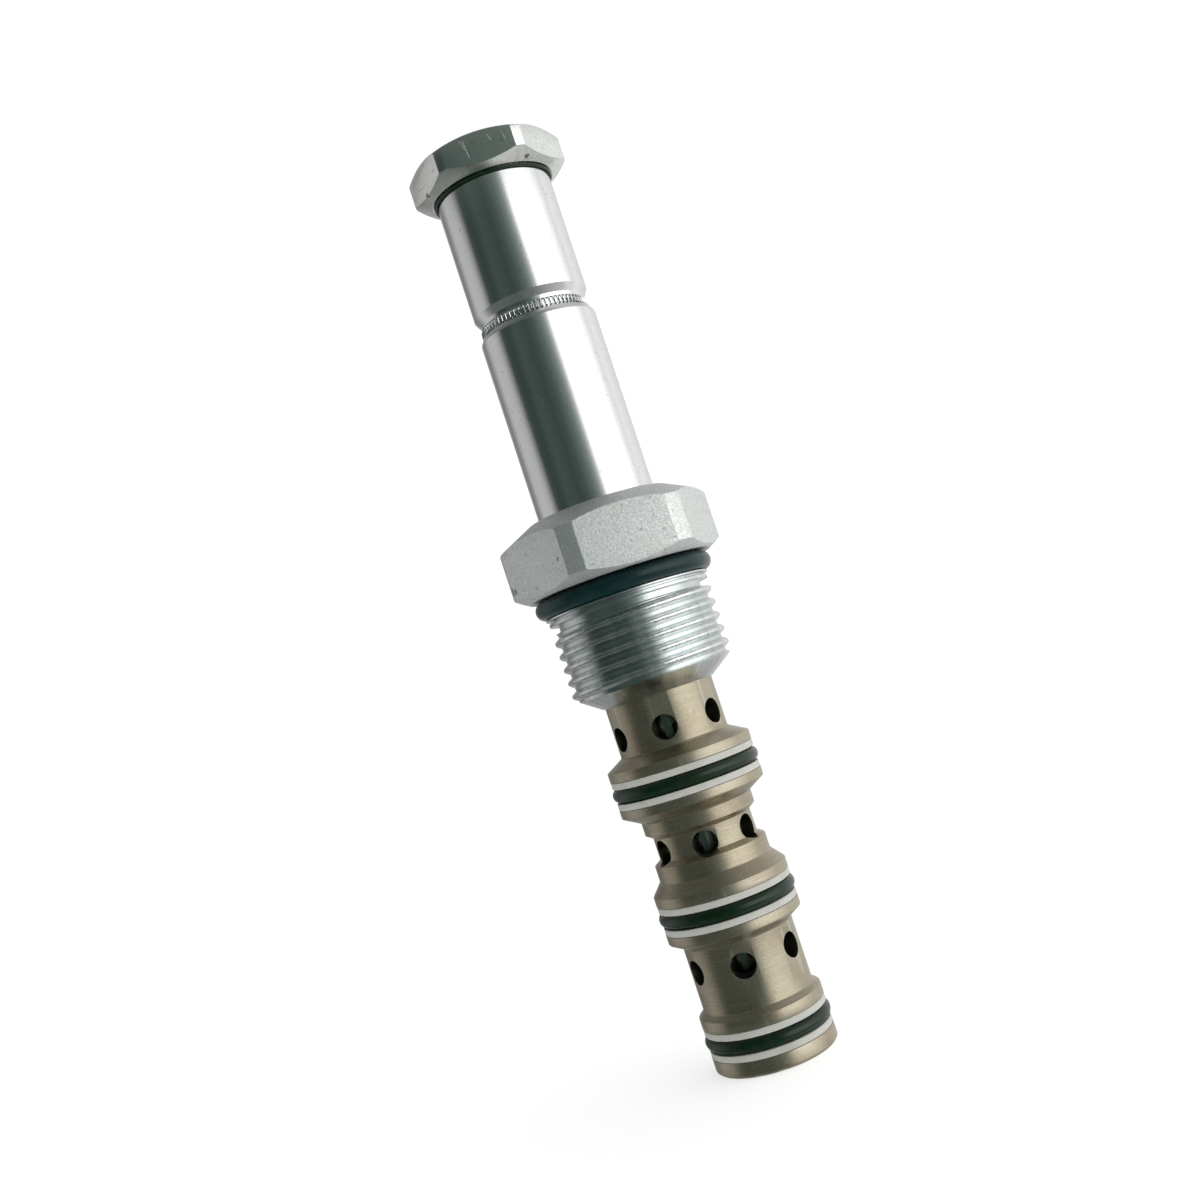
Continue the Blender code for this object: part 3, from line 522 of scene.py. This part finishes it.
# ---- cage
cage = {
    "bore": 4.75, "neckOne": 7.33, "neckTwo": 6.62, "neckThree": 7.36,
    "collarUpper": 7.50, "collarLower": 7.55,
    "landUpper": 9.73, "landMiddle": 8.99, "landLower": 8.22,
    "grooveWidth": 3.78, "sealCord": 1.86, "sealProud": 0.25, "sealGap": 0.04,
    "portHole": 1.65, "portCount": 6, "portChamfer": 0.13, "edge": 0.12}


def grooveFloor(land):
    return land + cage["sealProud"] - cage["sealCord"] - cage["sealGap"]


def landCorners(land, top, foot, groove):
    # a land from its upper edge to its lower one, with the seal groove in it
    edge = cage["edge"]
    upper = groove + cage["grooveWidth"]
    floor = grooveFloor(land)
    return [(land, top, edge), (land, upper, 0.03), (floor, upper, 0.05), (floor, groove, 0.05),
            (land, groove, 0.03), (land, foot, edge)]


grooveFoot = {"upper": 35.835, "middle": 18.735, "lower": 2.05}
portRows = [(44.68, -4.6), (29.24, -3.0), (13.48, -4.6)]
cageCorners = [(cage["neckOne"], cageTop, 0.3), (cage["neckOne"], 42.2, 0.35)]
cageCorners += landCorners(cage["landUpper"], 40.85, 34.7, grooveFoot["upper"])
cageCorners += [
    (cage["collarUpper"], 33.4, 0.25), (cage["collarUpper"], 31.7, 0.08),
    (cage["neckTwo"], 31.1, 0.12), (cage["neckTwo"], 28.1, 0.12),
    (cage["collarLower"], 27.5, 0.08), (cage["collarLower"], 25.4, 0.25)]
cageCorners += landCorners(cage["landMiddle"], 23.75, 17.5, grooveFoot["middle"])
cageCorners += [
    (cage["neckThree"], 16.5, 0.3), (cage["neckThree"], 7.95, 0.45),
    (cage["landLower"], 7.25, 0.28),
    (cage["landLower"], grooveFoot["lower"] + cage["grooveWidth"], 0.03),
    (grooveFloor(cage["landLower"]), grooveFoot["lower"] + cage["grooveWidth"], 0.05),
    (grooveFloor(cage["landLower"]), grooveFoot["lower"], 0.05),
    (cage["landLower"], grooveFoot["lower"], 0.03),
    (cage["landLower"], 0.3, 0.1), (cage["landLower"] - 0.3, 0.0, 0.1),
    (cage["bore"] + 0.5, 0.0, 0.05), (cage["bore"], 0.5, 0.05), (cage["bore"], 1.05, 0.0),
    (cage["bore"] + 0.55, 1.05, 0.0), (cage["bore"] + 0.55, 1.94, 0.0), (cage["bore"], 1.94, 0.0),
    (cage["bore"], cageTop - 0.5, 0.0), (cage["bore"] + 0.5, cageTop, 0.0)]


def portAxes():
    axes = []
    for height, turn in portRows:
        for spot in range(cage["portCount"]):
            heading = math.radians(turn + 360.0 * spot / cage["portCount"])
            axes.append((height, Vector((math.sin(heading), -math.cos(heading), 0.0))))
    return axes


def onDrill(point, height, out, slack):
    away = point - Vector((0.0, 0.0, height))
    along = away.dot(out)
    return along > 0.0 and abs((away - out * along).length - cage["portHole"]) < slack


def facesDrill(face, point, height, out):
    away = point - Vector((0.0, 0.0, height))
    return face.normal.dot((away - out * away.dot(out)).normalized()) < -0.8


def markPortEdges(piece):
    # the rims of the port holes get a bevel weight
    work = bmesh.new()
    work.from_mesh(piece.data)
    weight = work.edges.layers.float.new("bevel_weight_edge")
    drills = portAxes()
    for edge in work.edges:
        if len(edge.link_faces) != 2 or edge.calc_face_angle(0.0) < math.radians(25.0):
            continue
        middle = (edge.verts[0].co + edge.verts[1].co) / (2.0 * mm)
        if Vector((middle[0], middle[1])).length < cage["neckTwo"] - 0.4:
            continue
        if any(onDrill(middle, height, out, 0.06) for height, out in drills):
            edge[weight] = 1.0
    work.to_mesh(piece.data)
    work.free()


def makeCage():
    piece = addPiece("cageBody", turnedMesh("cageBody", cageCorners))
    rows = [(height, turn, cage["portHole"], cage["portCount"]) for height, turn in portRows]
    carve(piece, [drillMesh("ports", rows, cage["bore"] - 1.0, 9.1, 40)])
    markPortEdges(piece)
    rim = piece.modifiers.new("rims", "BEVEL")
    rim.width = cage["portChamfer"] * mm
    rim.segments = 2
    rim.limit_method = "WEIGHT"
    bakeModifiers(piece)
    finishPiece(piece, cageSteel, "cage", "valve_body")
    # the bore and the port hole walls take this dark second coat as painted shade inside the recesses
    piece.data.materials.append(holeShadeSteel)
    drills = portAxes()
    for face in piece.data.polygons:
        centre = face.center / mm
        spoke = Vector((centre[0], centre[1], 0.0))
        inward = face.normal.dot(spoke.normalized()) < -0.3 and spoke.length < cage["bore"] + 0.7
        if inward or any(onDrill(centre, height, out, 0.03) and facesDrill(face, centre, height, out)
                         for height, out in drills):
            face.material_index = 1


makeCage()
print("cage made")


# ---- seals and backup rings
backup = {"thick": 0.88, "shy": 0.03, "scarfWidth": 0.07, "scarfLean": 58.0,
          "scarfTurn": {"upper": 130.0, "middle": 205.0, "lower": 160.0}}


def cordRing(name, inside, cord, height, node, body, coat, sides=20):
    middle = inside + cord / 2.0
    corners = []
    for side in range(sides):
        bend = math.pi / 2.0 - 2.0 * math.pi * side / sides
        corners.append((middle + cord / 2.0 * math.cos(bend), height + cord / 2.0 * math.sin(bend), 0.0))
    piece = addPiece(name, turnedMesh(name, corners))
    finishPiece(piece, coat, node, body, 60.0)


def backupRing(name, inside, outside, low, high, heading, node):
    corners = [(outside, high, 0.07), (outside, low, 0.07), (inside, low, 0.04), (inside, high, 0.04)]
    piece = addPiece(name, turnedMesh(name, corners))
    # scarf cut: a thin slanted slot through the ring
    work = bmesh.new()
    spin = Matrix.Rotation(math.radians(heading), 4, "Z")
    lean = Matrix.Rotation(math.radians(backup["scarfLean"]), 4, "Y")
    place = spin @ Matrix.Translation((0.0, -outside * mm, (low + high) / 2.0 * mm)) @ lean
    size = Matrix.Diagonal((backup["scarfWidth"] * mm, 6.0 * mm, 6.0 * mm, 1.0))
    bmesh.ops.create_cube(work, size=1.0, matrix=place @ size)
    slit = bpy.data.meshes.new("slit")
    work.to_mesh(slit)
    work.free()
    carve(piece, [slit])
    finishPiece(piece, backupPlastic, node, "valve_body")


def makeLandSeals():
    for place in ("upper", "middle", "lower"):
        land = cage["land" + place.capitalize()]
        inside = grooveFloor(land) + cage["sealGap"]
        foot = grooveFoot[place] + cage["sealGap"]
        top = grooveFoot[place] + cage["grooveWidth"] - cage["sealGap"]
        middle = (foot + top) / 2.0
        cordRing("sealCord_" + place, inside, cage["sealCord"], middle, "seal_" + place, "valve_body",
                 sealRubber)
        outside = land - backup["shy"]
        turn = backup["scarfTurn"][place]
        backupRing("backupBelow_" + place, inside, outside, foot, foot + backup["thick"], turn,
                   "backup_" + place + "_below")
        backupRing("backupAbove_" + place, inside, outside, top - backup["thick"], top, turn + 40.0,
                   "backup_" + place + "_above")


makeLandSeals()
gland = {"neck": 9.62, "cord": 2.5, "gap": 0.04, "rest": 0.05, "floorDrop": 2.6}
cordRing("glandCord", gland["neck"] + gland["gap"], gland["cord"],
         glandTop - gland["rest"] - gland["cord"] / 2.0, "seal_adapter", "valve_body", glandRubber, 28)
print("seals made")


# ---- hex adapter
adapter = {
    "flats": 26.0, "corner": 14.35, "turn": 10.5, "topLand": 1.6, "topSlope": 2.4,
    "footLand": 0.35, "footSlope": 1.12, "edge": 0.3, "threadMajor": 10.98, "pitch": 1.814,
    "threadDepth": 0.72, "threadRoot": 0.26, "threadCrest": 0.17,
    "noseCone": 2.0, "reliefDepth": 1.2, "reliefRoom": 1.95, "wall": 0.2, "cageBore": 7.36,
    "clearBore": 5.2, "sealRise": 1.0, "sealRoom": 1.78, "sealDepth": 1.4, "turns": 6}
glandFloor = glandTop - gland["floorDrop"]
threadFoot = adapterFoot + adapter["noseCone"]


def outerThread(major, pitch, start, turns, steps, depth, root, crest):
    # V groove of a 60 degree thread; its mouth flares a little so that the crest edge is soft
    slope = math.tan(math.radians(30.0))
    mouth = root + (depth - crest) * slope
    flare = mouth + crest * 1.2
    section = [
        (major + 0.10, flare + 0.01), (major, flare), (major - crest, mouth),
        (major - depth + 0.05, root), (major - depth, root - 0.05),
        (major - depth, -root + 0.05), (major - depth + 0.05, -root),
        (major - crest, -mouth), (major, -flare), (major + 0.10, -flare - 0.01)]
    return helixMesh("groove", section, start, turns, pitch, steps)


def makeHexBody():
    bore = tubeRadius + 0.03
    under = glandTop
    rim = gland["neck"] + gland["cord"] + 2.0 * gland["gap"]
    skin = glandFloor - adapter["wall"]
    sealBore = tubeRadius + adapter["sealDepth"]
    sealFoot = tubeFoot + adapter["sealRise"]
    sealTop = sealFoot + adapter["sealRoom"]
    corners = [
        (bore, hexTop, 0.0), (tubeRadius + adapter["topLand"], hexTop, 0.6),
        (adapter["corner"], hexTop - adapter["topSlope"], 0.35),
        (adapter["corner"], under + adapter["footSlope"], 0.2),
        (rim + adapter["footLand"], under, 0.12), (rim, under, 0.0), (rim, under + 0.05, 0.0),
        (gland["neck"], under + 0.05, 0.1), (gland["neck"], skin, 0.0), (adapter["clearBore"], skin, 0.0),
        (adapter["clearBore"], tubeFoot - 0.1, 0.0), (bore, tubeFoot - 0.1, 0.0),
        (bore, sealFoot, 0.0), (sealBore, sealFoot, 0.0), (sealBore, sealTop, 0.0), (bore, sealTop, 0.0)]
    piece = addPiece("hexBody", turnedMesh("hexBody", corners))
    prism = hexMesh("prism", adapter["flats"], adapterFoot - 9.0, hexTop + 5.2, adapter["turn"])
    carve(piece, [prism], "INTERSECT")
    softenEdges(piece, adapter["edge"], 20.0)
    finishPiece(piece, hexZinc, "hex_adapter", "valve_body", 28.0)


def makeThreadSleeve():
    major = adapter["threadMajor"]
    floor = glandFloor
    relief = major - adapter["reliefDepth"]
    reliefFoot = floor - adapter["reliefRoom"]
    corners = [
        (gland["neck"] - 1.0, floor, 0.0), (major + 0.2, floor, 0.08), (major + 0.2, floor - 0.3, 0.08),
        (major - 0.7, floor - 0.3, 0.03), (major - 0.7, floor - 0.6, 0.03),
        (major - 0.05, floor - 0.6, 0.1), (major - 0.05, floor - 1.1, 0.1),
        (relief, floor - 1.1, 0.05), (relief, reliefFoot, 0.1), (major, reliefFoot - 0.3, 0.05),
        (major, threadFoot + 0.4, 0.3), (major - 0.75, threadFoot - 0.15, 0.3),
        (cage["neckOne"] + 0.25, adapterFoot, 0.12),
        (adapter["cageBore"], adapterFoot, 0.0), (adapter["cageBore"], cageTop + 0.1, 0.0),
        (adapter["clearBore"], cageTop + 0.1, 0.0), (adapter["clearBore"], floor - 0.25, 0.0),
        (gland["neck"] - 1.0, floor - 0.25, 0.0)]
    piece = addPiece("threadSleeve", turnedMesh("threadSleeve", corners))
    turns = adapter["turns"]
    start = floor - 1.6 - turns * adapter["pitch"]
    steps = 120
    carve(piece, [outerThread(major, adapter["pitch"], start, turns, steps,
                              adapter["threadDepth"], adapter["threadRoot"], adapter["threadCrest"])])
    finishPiece(piece, threadZinc, "hex_adapter", "valve_body", 40.0)


makeHexBody()
makeThreadSleeve()
print("adapter made")


# ---- guide tube, pole piece and knurl
pole = {"step": 0.1, "knurlHeight": 1.65, "toothHeight": 1.1, "knurlTip": 0.50, "knurlRoot": 0.94,
        "neck": 0.72, "fillet": 1.45, "teeth": 72, "studMajor": 6.35, "studPitch": 1.27,
        "studRelief": 0.9, "studTurns": 5, "pocket": 3.2, "pocketDepth": 5.0, "wall": 0.95,
        "intoNut": 0.3}
poleTop = nutFoot + pole["intoNut"]
knurlTop = tubeTop + pole["knurlHeight"]
poleRadius = tubeRadius - pole["step"]
toothTop = tubeTop + pole["toothHeight"]


def makeTube():
    inside = tubeRadius - pole["wall"]
    corners = [
        (tubeRadius - 0.60, tubeTop, 0.1), (tubeRadius - 0.42, tubeTop - 0.08, 0.3),
        (tubeRadius, tubeTop - 0.75, 0.7),
        (tubeRadius, tubeFoot + 0.3, 0.0), (tubeRadius - 0.3, tubeFoot, 0.0),
        (inside, tubeFoot, 0.0), (inside, tubeTop, 0.0)]
    piece = addPiece("tubeBody", turnedMesh("tubeBody", corners))
    finishPiece(piece, tubeZinc, "guide_tube", "valve_body")


def makePole():
    plug = tubeRadius - pole["wall"] - 0.03
    root = tubeRadius - pole["knurlRoot"]
    seat = tubeTop + 0.075
    major = pole["studMajor"]
    relief = major - 0.9
    corners = [
        (0.0, studTop, 0.0), (major - 0.6, studTop, 0.1), (major, studTop - 0.6, 0.1),
        (major, poleTop + pole["studRelief"], 0.05), (relief, poleTop + pole["studRelief"] - 0.2, 0.05),
        (relief, poleTop, 0.05), (poleRadius - 0.35, poleTop, 0.08), (poleRadius, poleTop - 0.35, 0.1),
        (poleRadius, knurlTop + pole["fillet"] - 0.35, 0.12),
        (tubeRadius - pole["neck"], knurlTop + 0.1, 0.08),
        (tubeRadius - pole["neck"], toothTop + 0.15, 0.05), (root, toothTop, 0.05), (root, seat, 0.0),
        (plug, seat, 0.0), (plug, plugFoot + 0.3, 0.05), (plug - 0.3, plugFoot, 0.05),
        (pole["pocket"], plugFoot, 0.0), (pole["pocket"], plugFoot + pole["pocketDepth"], 0.0),
        (0.0, plugFoot + pole["pocketDepth"], 0.0)]
    piece = addPiece("poleBody", turnedMesh("poleBody", corners, False))
    start = poleTop + pole["studRelief"] / 2.0
    pitch = pole["studPitch"]
    carve(piece, [outerThread(major, pitch, start, pole["studTurns"], 96,
                              0.58 * pitch, pitch / 12.0, 0.06)])
    finishPiece(piece, tubeZinc, "pole_piece", "valve_body")


def makeKnurl():
    # toothed band in the crimp neck: each tooth has a flat tip and sloping flanks and ends
    tip = tubeRadius - pole["knurlTip"]
    root = tubeRadius - pole["knurlRoot"]
    foot = tubeTop + 0.1
    levels = [(foot, 0.0), (foot + 0.14, 1.0), (toothTop - 0.14, 1.0), (toothTop + 0.02, 0.2)]
    shape = ((0.0, 0.0), (0.12, 0.85), (0.2, 1.0), (0.46, 1.0), (0.54, 0.85), (0.66, 0.0))
    work = bmesh.new()
    rings = []
    inner = root - 0.25
    for height, share in [(foot, None)] + levels + [(toothTop + 0.02, None)]:
        ring = []
        for tooth in range(pole["teeth"]):
            for place, rise in shape:
                angle = 2.0 * math.pi * (tooth + place) / pole["teeth"]
                radius = inner if share is None else root + (tip - root) * rise * share
                ring.append(work.verts.new((
                    radius * math.cos(angle) * mm, radius * math.sin(angle) * mm, height * mm)))
        rings.append(ring)
    count = len(rings[0])
    for spot in range(len(rings)):
        lower, upper = rings[spot], rings[(spot + 1) % len(rings)]
        for step in range(count):
            after = (step + 1) % count
            work.faces.new((lower[step], lower[after], upper[after], upper[step]))
    bmesh.ops.recalc_face_normals(work, faces=work.faces)
    mesh = bpy.data.meshes.new("knurlBand")
    work.to_mesh(mesh)
    work.free()
    piece = addPiece("knurlBand", mesh)
    finishPiece(piece, tubeZinc, "pole_piece", "valve_body", 20.0)


makeTube()
makePole()
makeKnurl()
print("tube and pole made")


# ---- coil nut
nut = {"flats": 19.0, "corner": 10.62, "chamfer": 0.85, "edge": 0.12, "slack": 0.10, "cord": 0.36,
       "skirt": 0.35, "skirtWall": 0.5, "cone": 1.2}


def makeNut():
    major = pole["studMajor"]
    pitch = pole["studPitch"]
    minor = major - 0.6134 * pitch + 2.0 * nut["slack"]
    mouth = major + 0.3
    edge = nut["corner"] - 1.8 * nut["chamfer"]
    bore = poleRadius + 0.1
    seat = nutFoot + nut["skirt"]
    corners = [
        (edge, nutTop, 0.15), (nut["corner"], nutTop - nut["chamfer"], 0.2),
        (nut["corner"], nutFoot + nut["cone"], 0.2), (bore + nut["skirtWall"], nutFoot, 0.12),
        (bore, nutFoot, 0.05), (bore, seat, 0.0), (mouth, seat, 0.0),
        (minor, seat + 0.8, 0.05), (minor, nutTop - 0.8, 0.05), (mouth, nutTop, 0.05)]
    piece = addPiece("nutBody", turnedMesh("nutBody", corners))
    carve(piece, [hexMesh("prism", nut["flats"], nutFoot - 3.0, nutTop + 3.0, 0.0)], "INTERSECT")
    softenEdges(piece, nut["edge"], 20.0)
    base = minor - 0.12
    tip = major + nut["slack"]
    halfTip = pitch / 16.0 + 0.9 * nut["slack"]
    halfBase = halfTip + (tip - base) * math.tan(math.radians(30.0))
    section = [(tip, halfTip), (tip, -halfTip), (base, -halfBase), (base, halfBase)]
    low = poleTop + pole["studRelief"] / 2.0 - 1.5 * pitch
    carve(piece, [helixMesh("groove", section, low, 6, pitch, 96)])
    finishPiece(piece, nutZinc, "coil_nut", "nut", 28.0)


makeNut()
cordRing("nutCord", poleRadius + 0.04, nut["cord"], nutFoot - 0.05 - nut["cord"] / 2.0,
         "seal_nut", "nut_seal", sealRubber)
print("nut made")


# ---- inner pieces keep their frame shapes and get their own finishes
innerCoats = {
    "spool": hardSteel, "spool_link": hardSteel, "armature": softIron, "return_spring": springWire,
    "nose_clip": springWire, "gap_shim": shimBrass, "seal_tube": sealRubber}
for node, coat in innerCoats.items():
    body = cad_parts[node]
    if not body.material_slots:
        body.data.materials.append(coat)
    for slot in body.material_slots:
        slot.material = coat
print("inner pieces coated")


# ---- stage, light and camera
studio = {
    "floorSize": 3.0, "floorTint": (0.93, 0.93, 0.92), "floorGlow": 0.66, "keyStrength": 1.0,
    "walls": [
        (-180, 0.60, 0), (-158, 0.30, 0), (-144, 0.20, 0), (-132, 0.34, 0), (-120, 0.52, 0),
        (-104, 0.52, 0), (-92, 0.47, 0), (-82, 0.26, 0), (-75, 0.07, 1), (-62, 0.055, 1),
        (-46, 0.085, 1), (-34, 0.08, 1), (-22, 0.065, 1), (-8, 0.09, 1), (4, 0.15, 0.8),
        (14, 0.25, 0.5), (22, 0.52, 0.2), (28, 1.5, 0), (45, 1.8, 0), (66, 1.75, 0), (84, 1.4, 0),
        (97, 1.1, 0), (107, 0.86, 0), (120, 0.96, 0), (136, 0.86, 0), (160, 0.76, 0), (179, 0.62, 0)],
    "ceiling": [(-180, 0.40, 0), (-100, 0.15, 0.3), (-20, 0.11, 0.6), (15, 0.18, 0.3), (60, 0.45, 0),
                (95, 0.62, 0), (179, 0.45, 0)],
    "lens": 39.8, "distance": 0.17563, "height": 0.05138, "pitch": 3.783, "yaw": -1.137, "roll": -18.21}


def makeFloor():
    work = bmesh.new()
    size = studio["floorSize"]
    bmesh.ops.create_grid(work, x_segments=8, y_segments=8, size=size)
    mesh = bpy.data.meshes.new("floor")
    work.to_mesh(mesh)
    work.free()
    floor = addPiece("floor", mesh)
    coat, tree, shader = newCoat("floorPaper")
    tint = studio["floorTint"]
    shader.inputs["Base Color"].default_value = (tint[0], tint[1], tint[2], 1.0)
    shader.inputs["Roughness"].default_value = 0.9
    shader.inputs["Emission Color"].default_value = (1.0, 1.0, 1.0, 1.0)
    shader.inputs["Emission Strength"].default_value = studio["floorGlow"]
    mesh.materials.append(coat)
    floor.visible_glossy = False


def fillRamp(node, stops):
    # stops are (heading in degrees from the front toward the right, brightness, green tint)
    ramp = node.color_ramp
    while len(ramp.elements) > 1:
        ramp.elements.remove(ramp.elements[0])
    for spot, (heading, light, tint) in enumerate(stops):
        place = (heading + 180.0) / 360.0
        stop = ramp.elements[0] if spot == 0 else ramp.elements.new(place)
        stop.position = place
        level = light / 2.0
        stop.color = (level * (1.0 - 0.28 * tint), level, level * (1.0 - 0.1 * tint), 1.0)


def makeSky():
    # a room round the valve: dark in front and to the left, one bright window to the right
    sky = bpy.data.worlds.new("studioRoom")
    bpy.context.scene.world = sky
    sky.use_nodes = True
    tree = sky.node_tree
    tree.nodes.clear()
    coord = addNode(tree, "ShaderNodeTexCoord").outputs["Generated"]
    parts = addNode(tree, "ShaderNodeSeparateXYZ")
    tree.links.new(coord, parts.inputs[0])
    turn = addNode(tree, "ShaderNodeMath", operation="ARCTAN2")
    flip = addNode(tree, "ShaderNodeMath", operation="MULTIPLY")
    flip.inputs[1].default_value = -1.0
    tree.links.new(parts.outputs["Y"], flip.inputs[0])
    tree.links.new(parts.outputs["X"], turn.inputs[0])
    tree.links.new(flip.outputs[0], turn.inputs[1])
    share = rampOf(tree, turn.outputs[0], -math.pi, math.pi)
    walls = addNode(tree, "ShaderNodeValToRGB")
    fillRamp(walls, studio["walls"])
    tree.links.new(share, walls.inputs["Fac"])
    soft = addNode(tree, "ShaderNodeValToRGB")
    fillRamp(soft, studio["ceiling"])
    tree.links.new(share, soft.inputs["Fac"])
    over = rampOf(tree, parts.outputs["Z"], 0.40, 0.62)
    under = rampOf(tree, parts.outputs["Z"], -0.30, -0.45)
    room = mixColour(tree, over, walls.outputs["Color"], soft.outputs["Color"])
    room = mixColour(tree, under, room, soft.outputs["Color"])
    light = addNode(tree, "ShaderNodeBackground")
    light.inputs["Strength"].default_value = 2.0 * studio["keyStrength"]
    tree.links.new(room, light.inputs["Color"])
    paper = addNode(tree, "ShaderNodeBackground")
    paper.inputs["Color"].default_value = (1.0, 1.0, 1.0, 1.0)
    paper.inputs["Strength"].default_value = 1.05
    ray = addNode(tree, "ShaderNodeLightPath")
    mix = addNode(tree, "ShaderNodeMixShader")
    out = addNode(tree, "ShaderNodeOutputWorld")
    tree.links.new(ray.outputs["Is Camera Ray"], mix.inputs[0])
    tree.links.new(light.outputs[0], mix.inputs[1])
    tree.links.new(paper.outputs[0], mix.inputs[2])
    tree.links.new(mix.outputs[0], out.inputs["Surface"])


def makeCamera():
    pitch = math.radians(studio["pitch"])
    yaw = math.radians(studio["yaw"])
    roll = math.radians(studio["roll"])
    forward = Vector((math.sin(yaw) * math.cos(pitch), math.cos(yaw) * math.cos(pitch), math.sin(pitch)))
    right = Vector((math.cos(yaw), -math.sin(yaw), 0.0))
    up = right.cross(forward)
    across = right * math.cos(roll) + up * math.sin(roll)
    above = up * math.cos(roll) - right * math.sin(roll)
    lens = bpy.data.cameras.new("studioCamera")
    lens.lens = studio["lens"]
    lens.sensor_width = 36.0
    lens.clip_start = 0.005
    camera = bpy.data.objects.new("studioCamera", lens)
    bpy.context.scene.collection.objects.link(camera)
    camera.matrix_world = Matrix((
        (across[0], above[0], -forward[0], 0.0),
        (across[1], above[1], -forward[1], -studio["distance"]),
        (across[2], above[2], -forward[2], studio["height"]), (0.0, 0.0, 0.0, 1.0)))
    bpy.context.scene.camera = camera


makeFloor()
makeSky()
makeCamera()
bpy.context.scene.view_settings.view_transform = "Standard"
print("studio made")
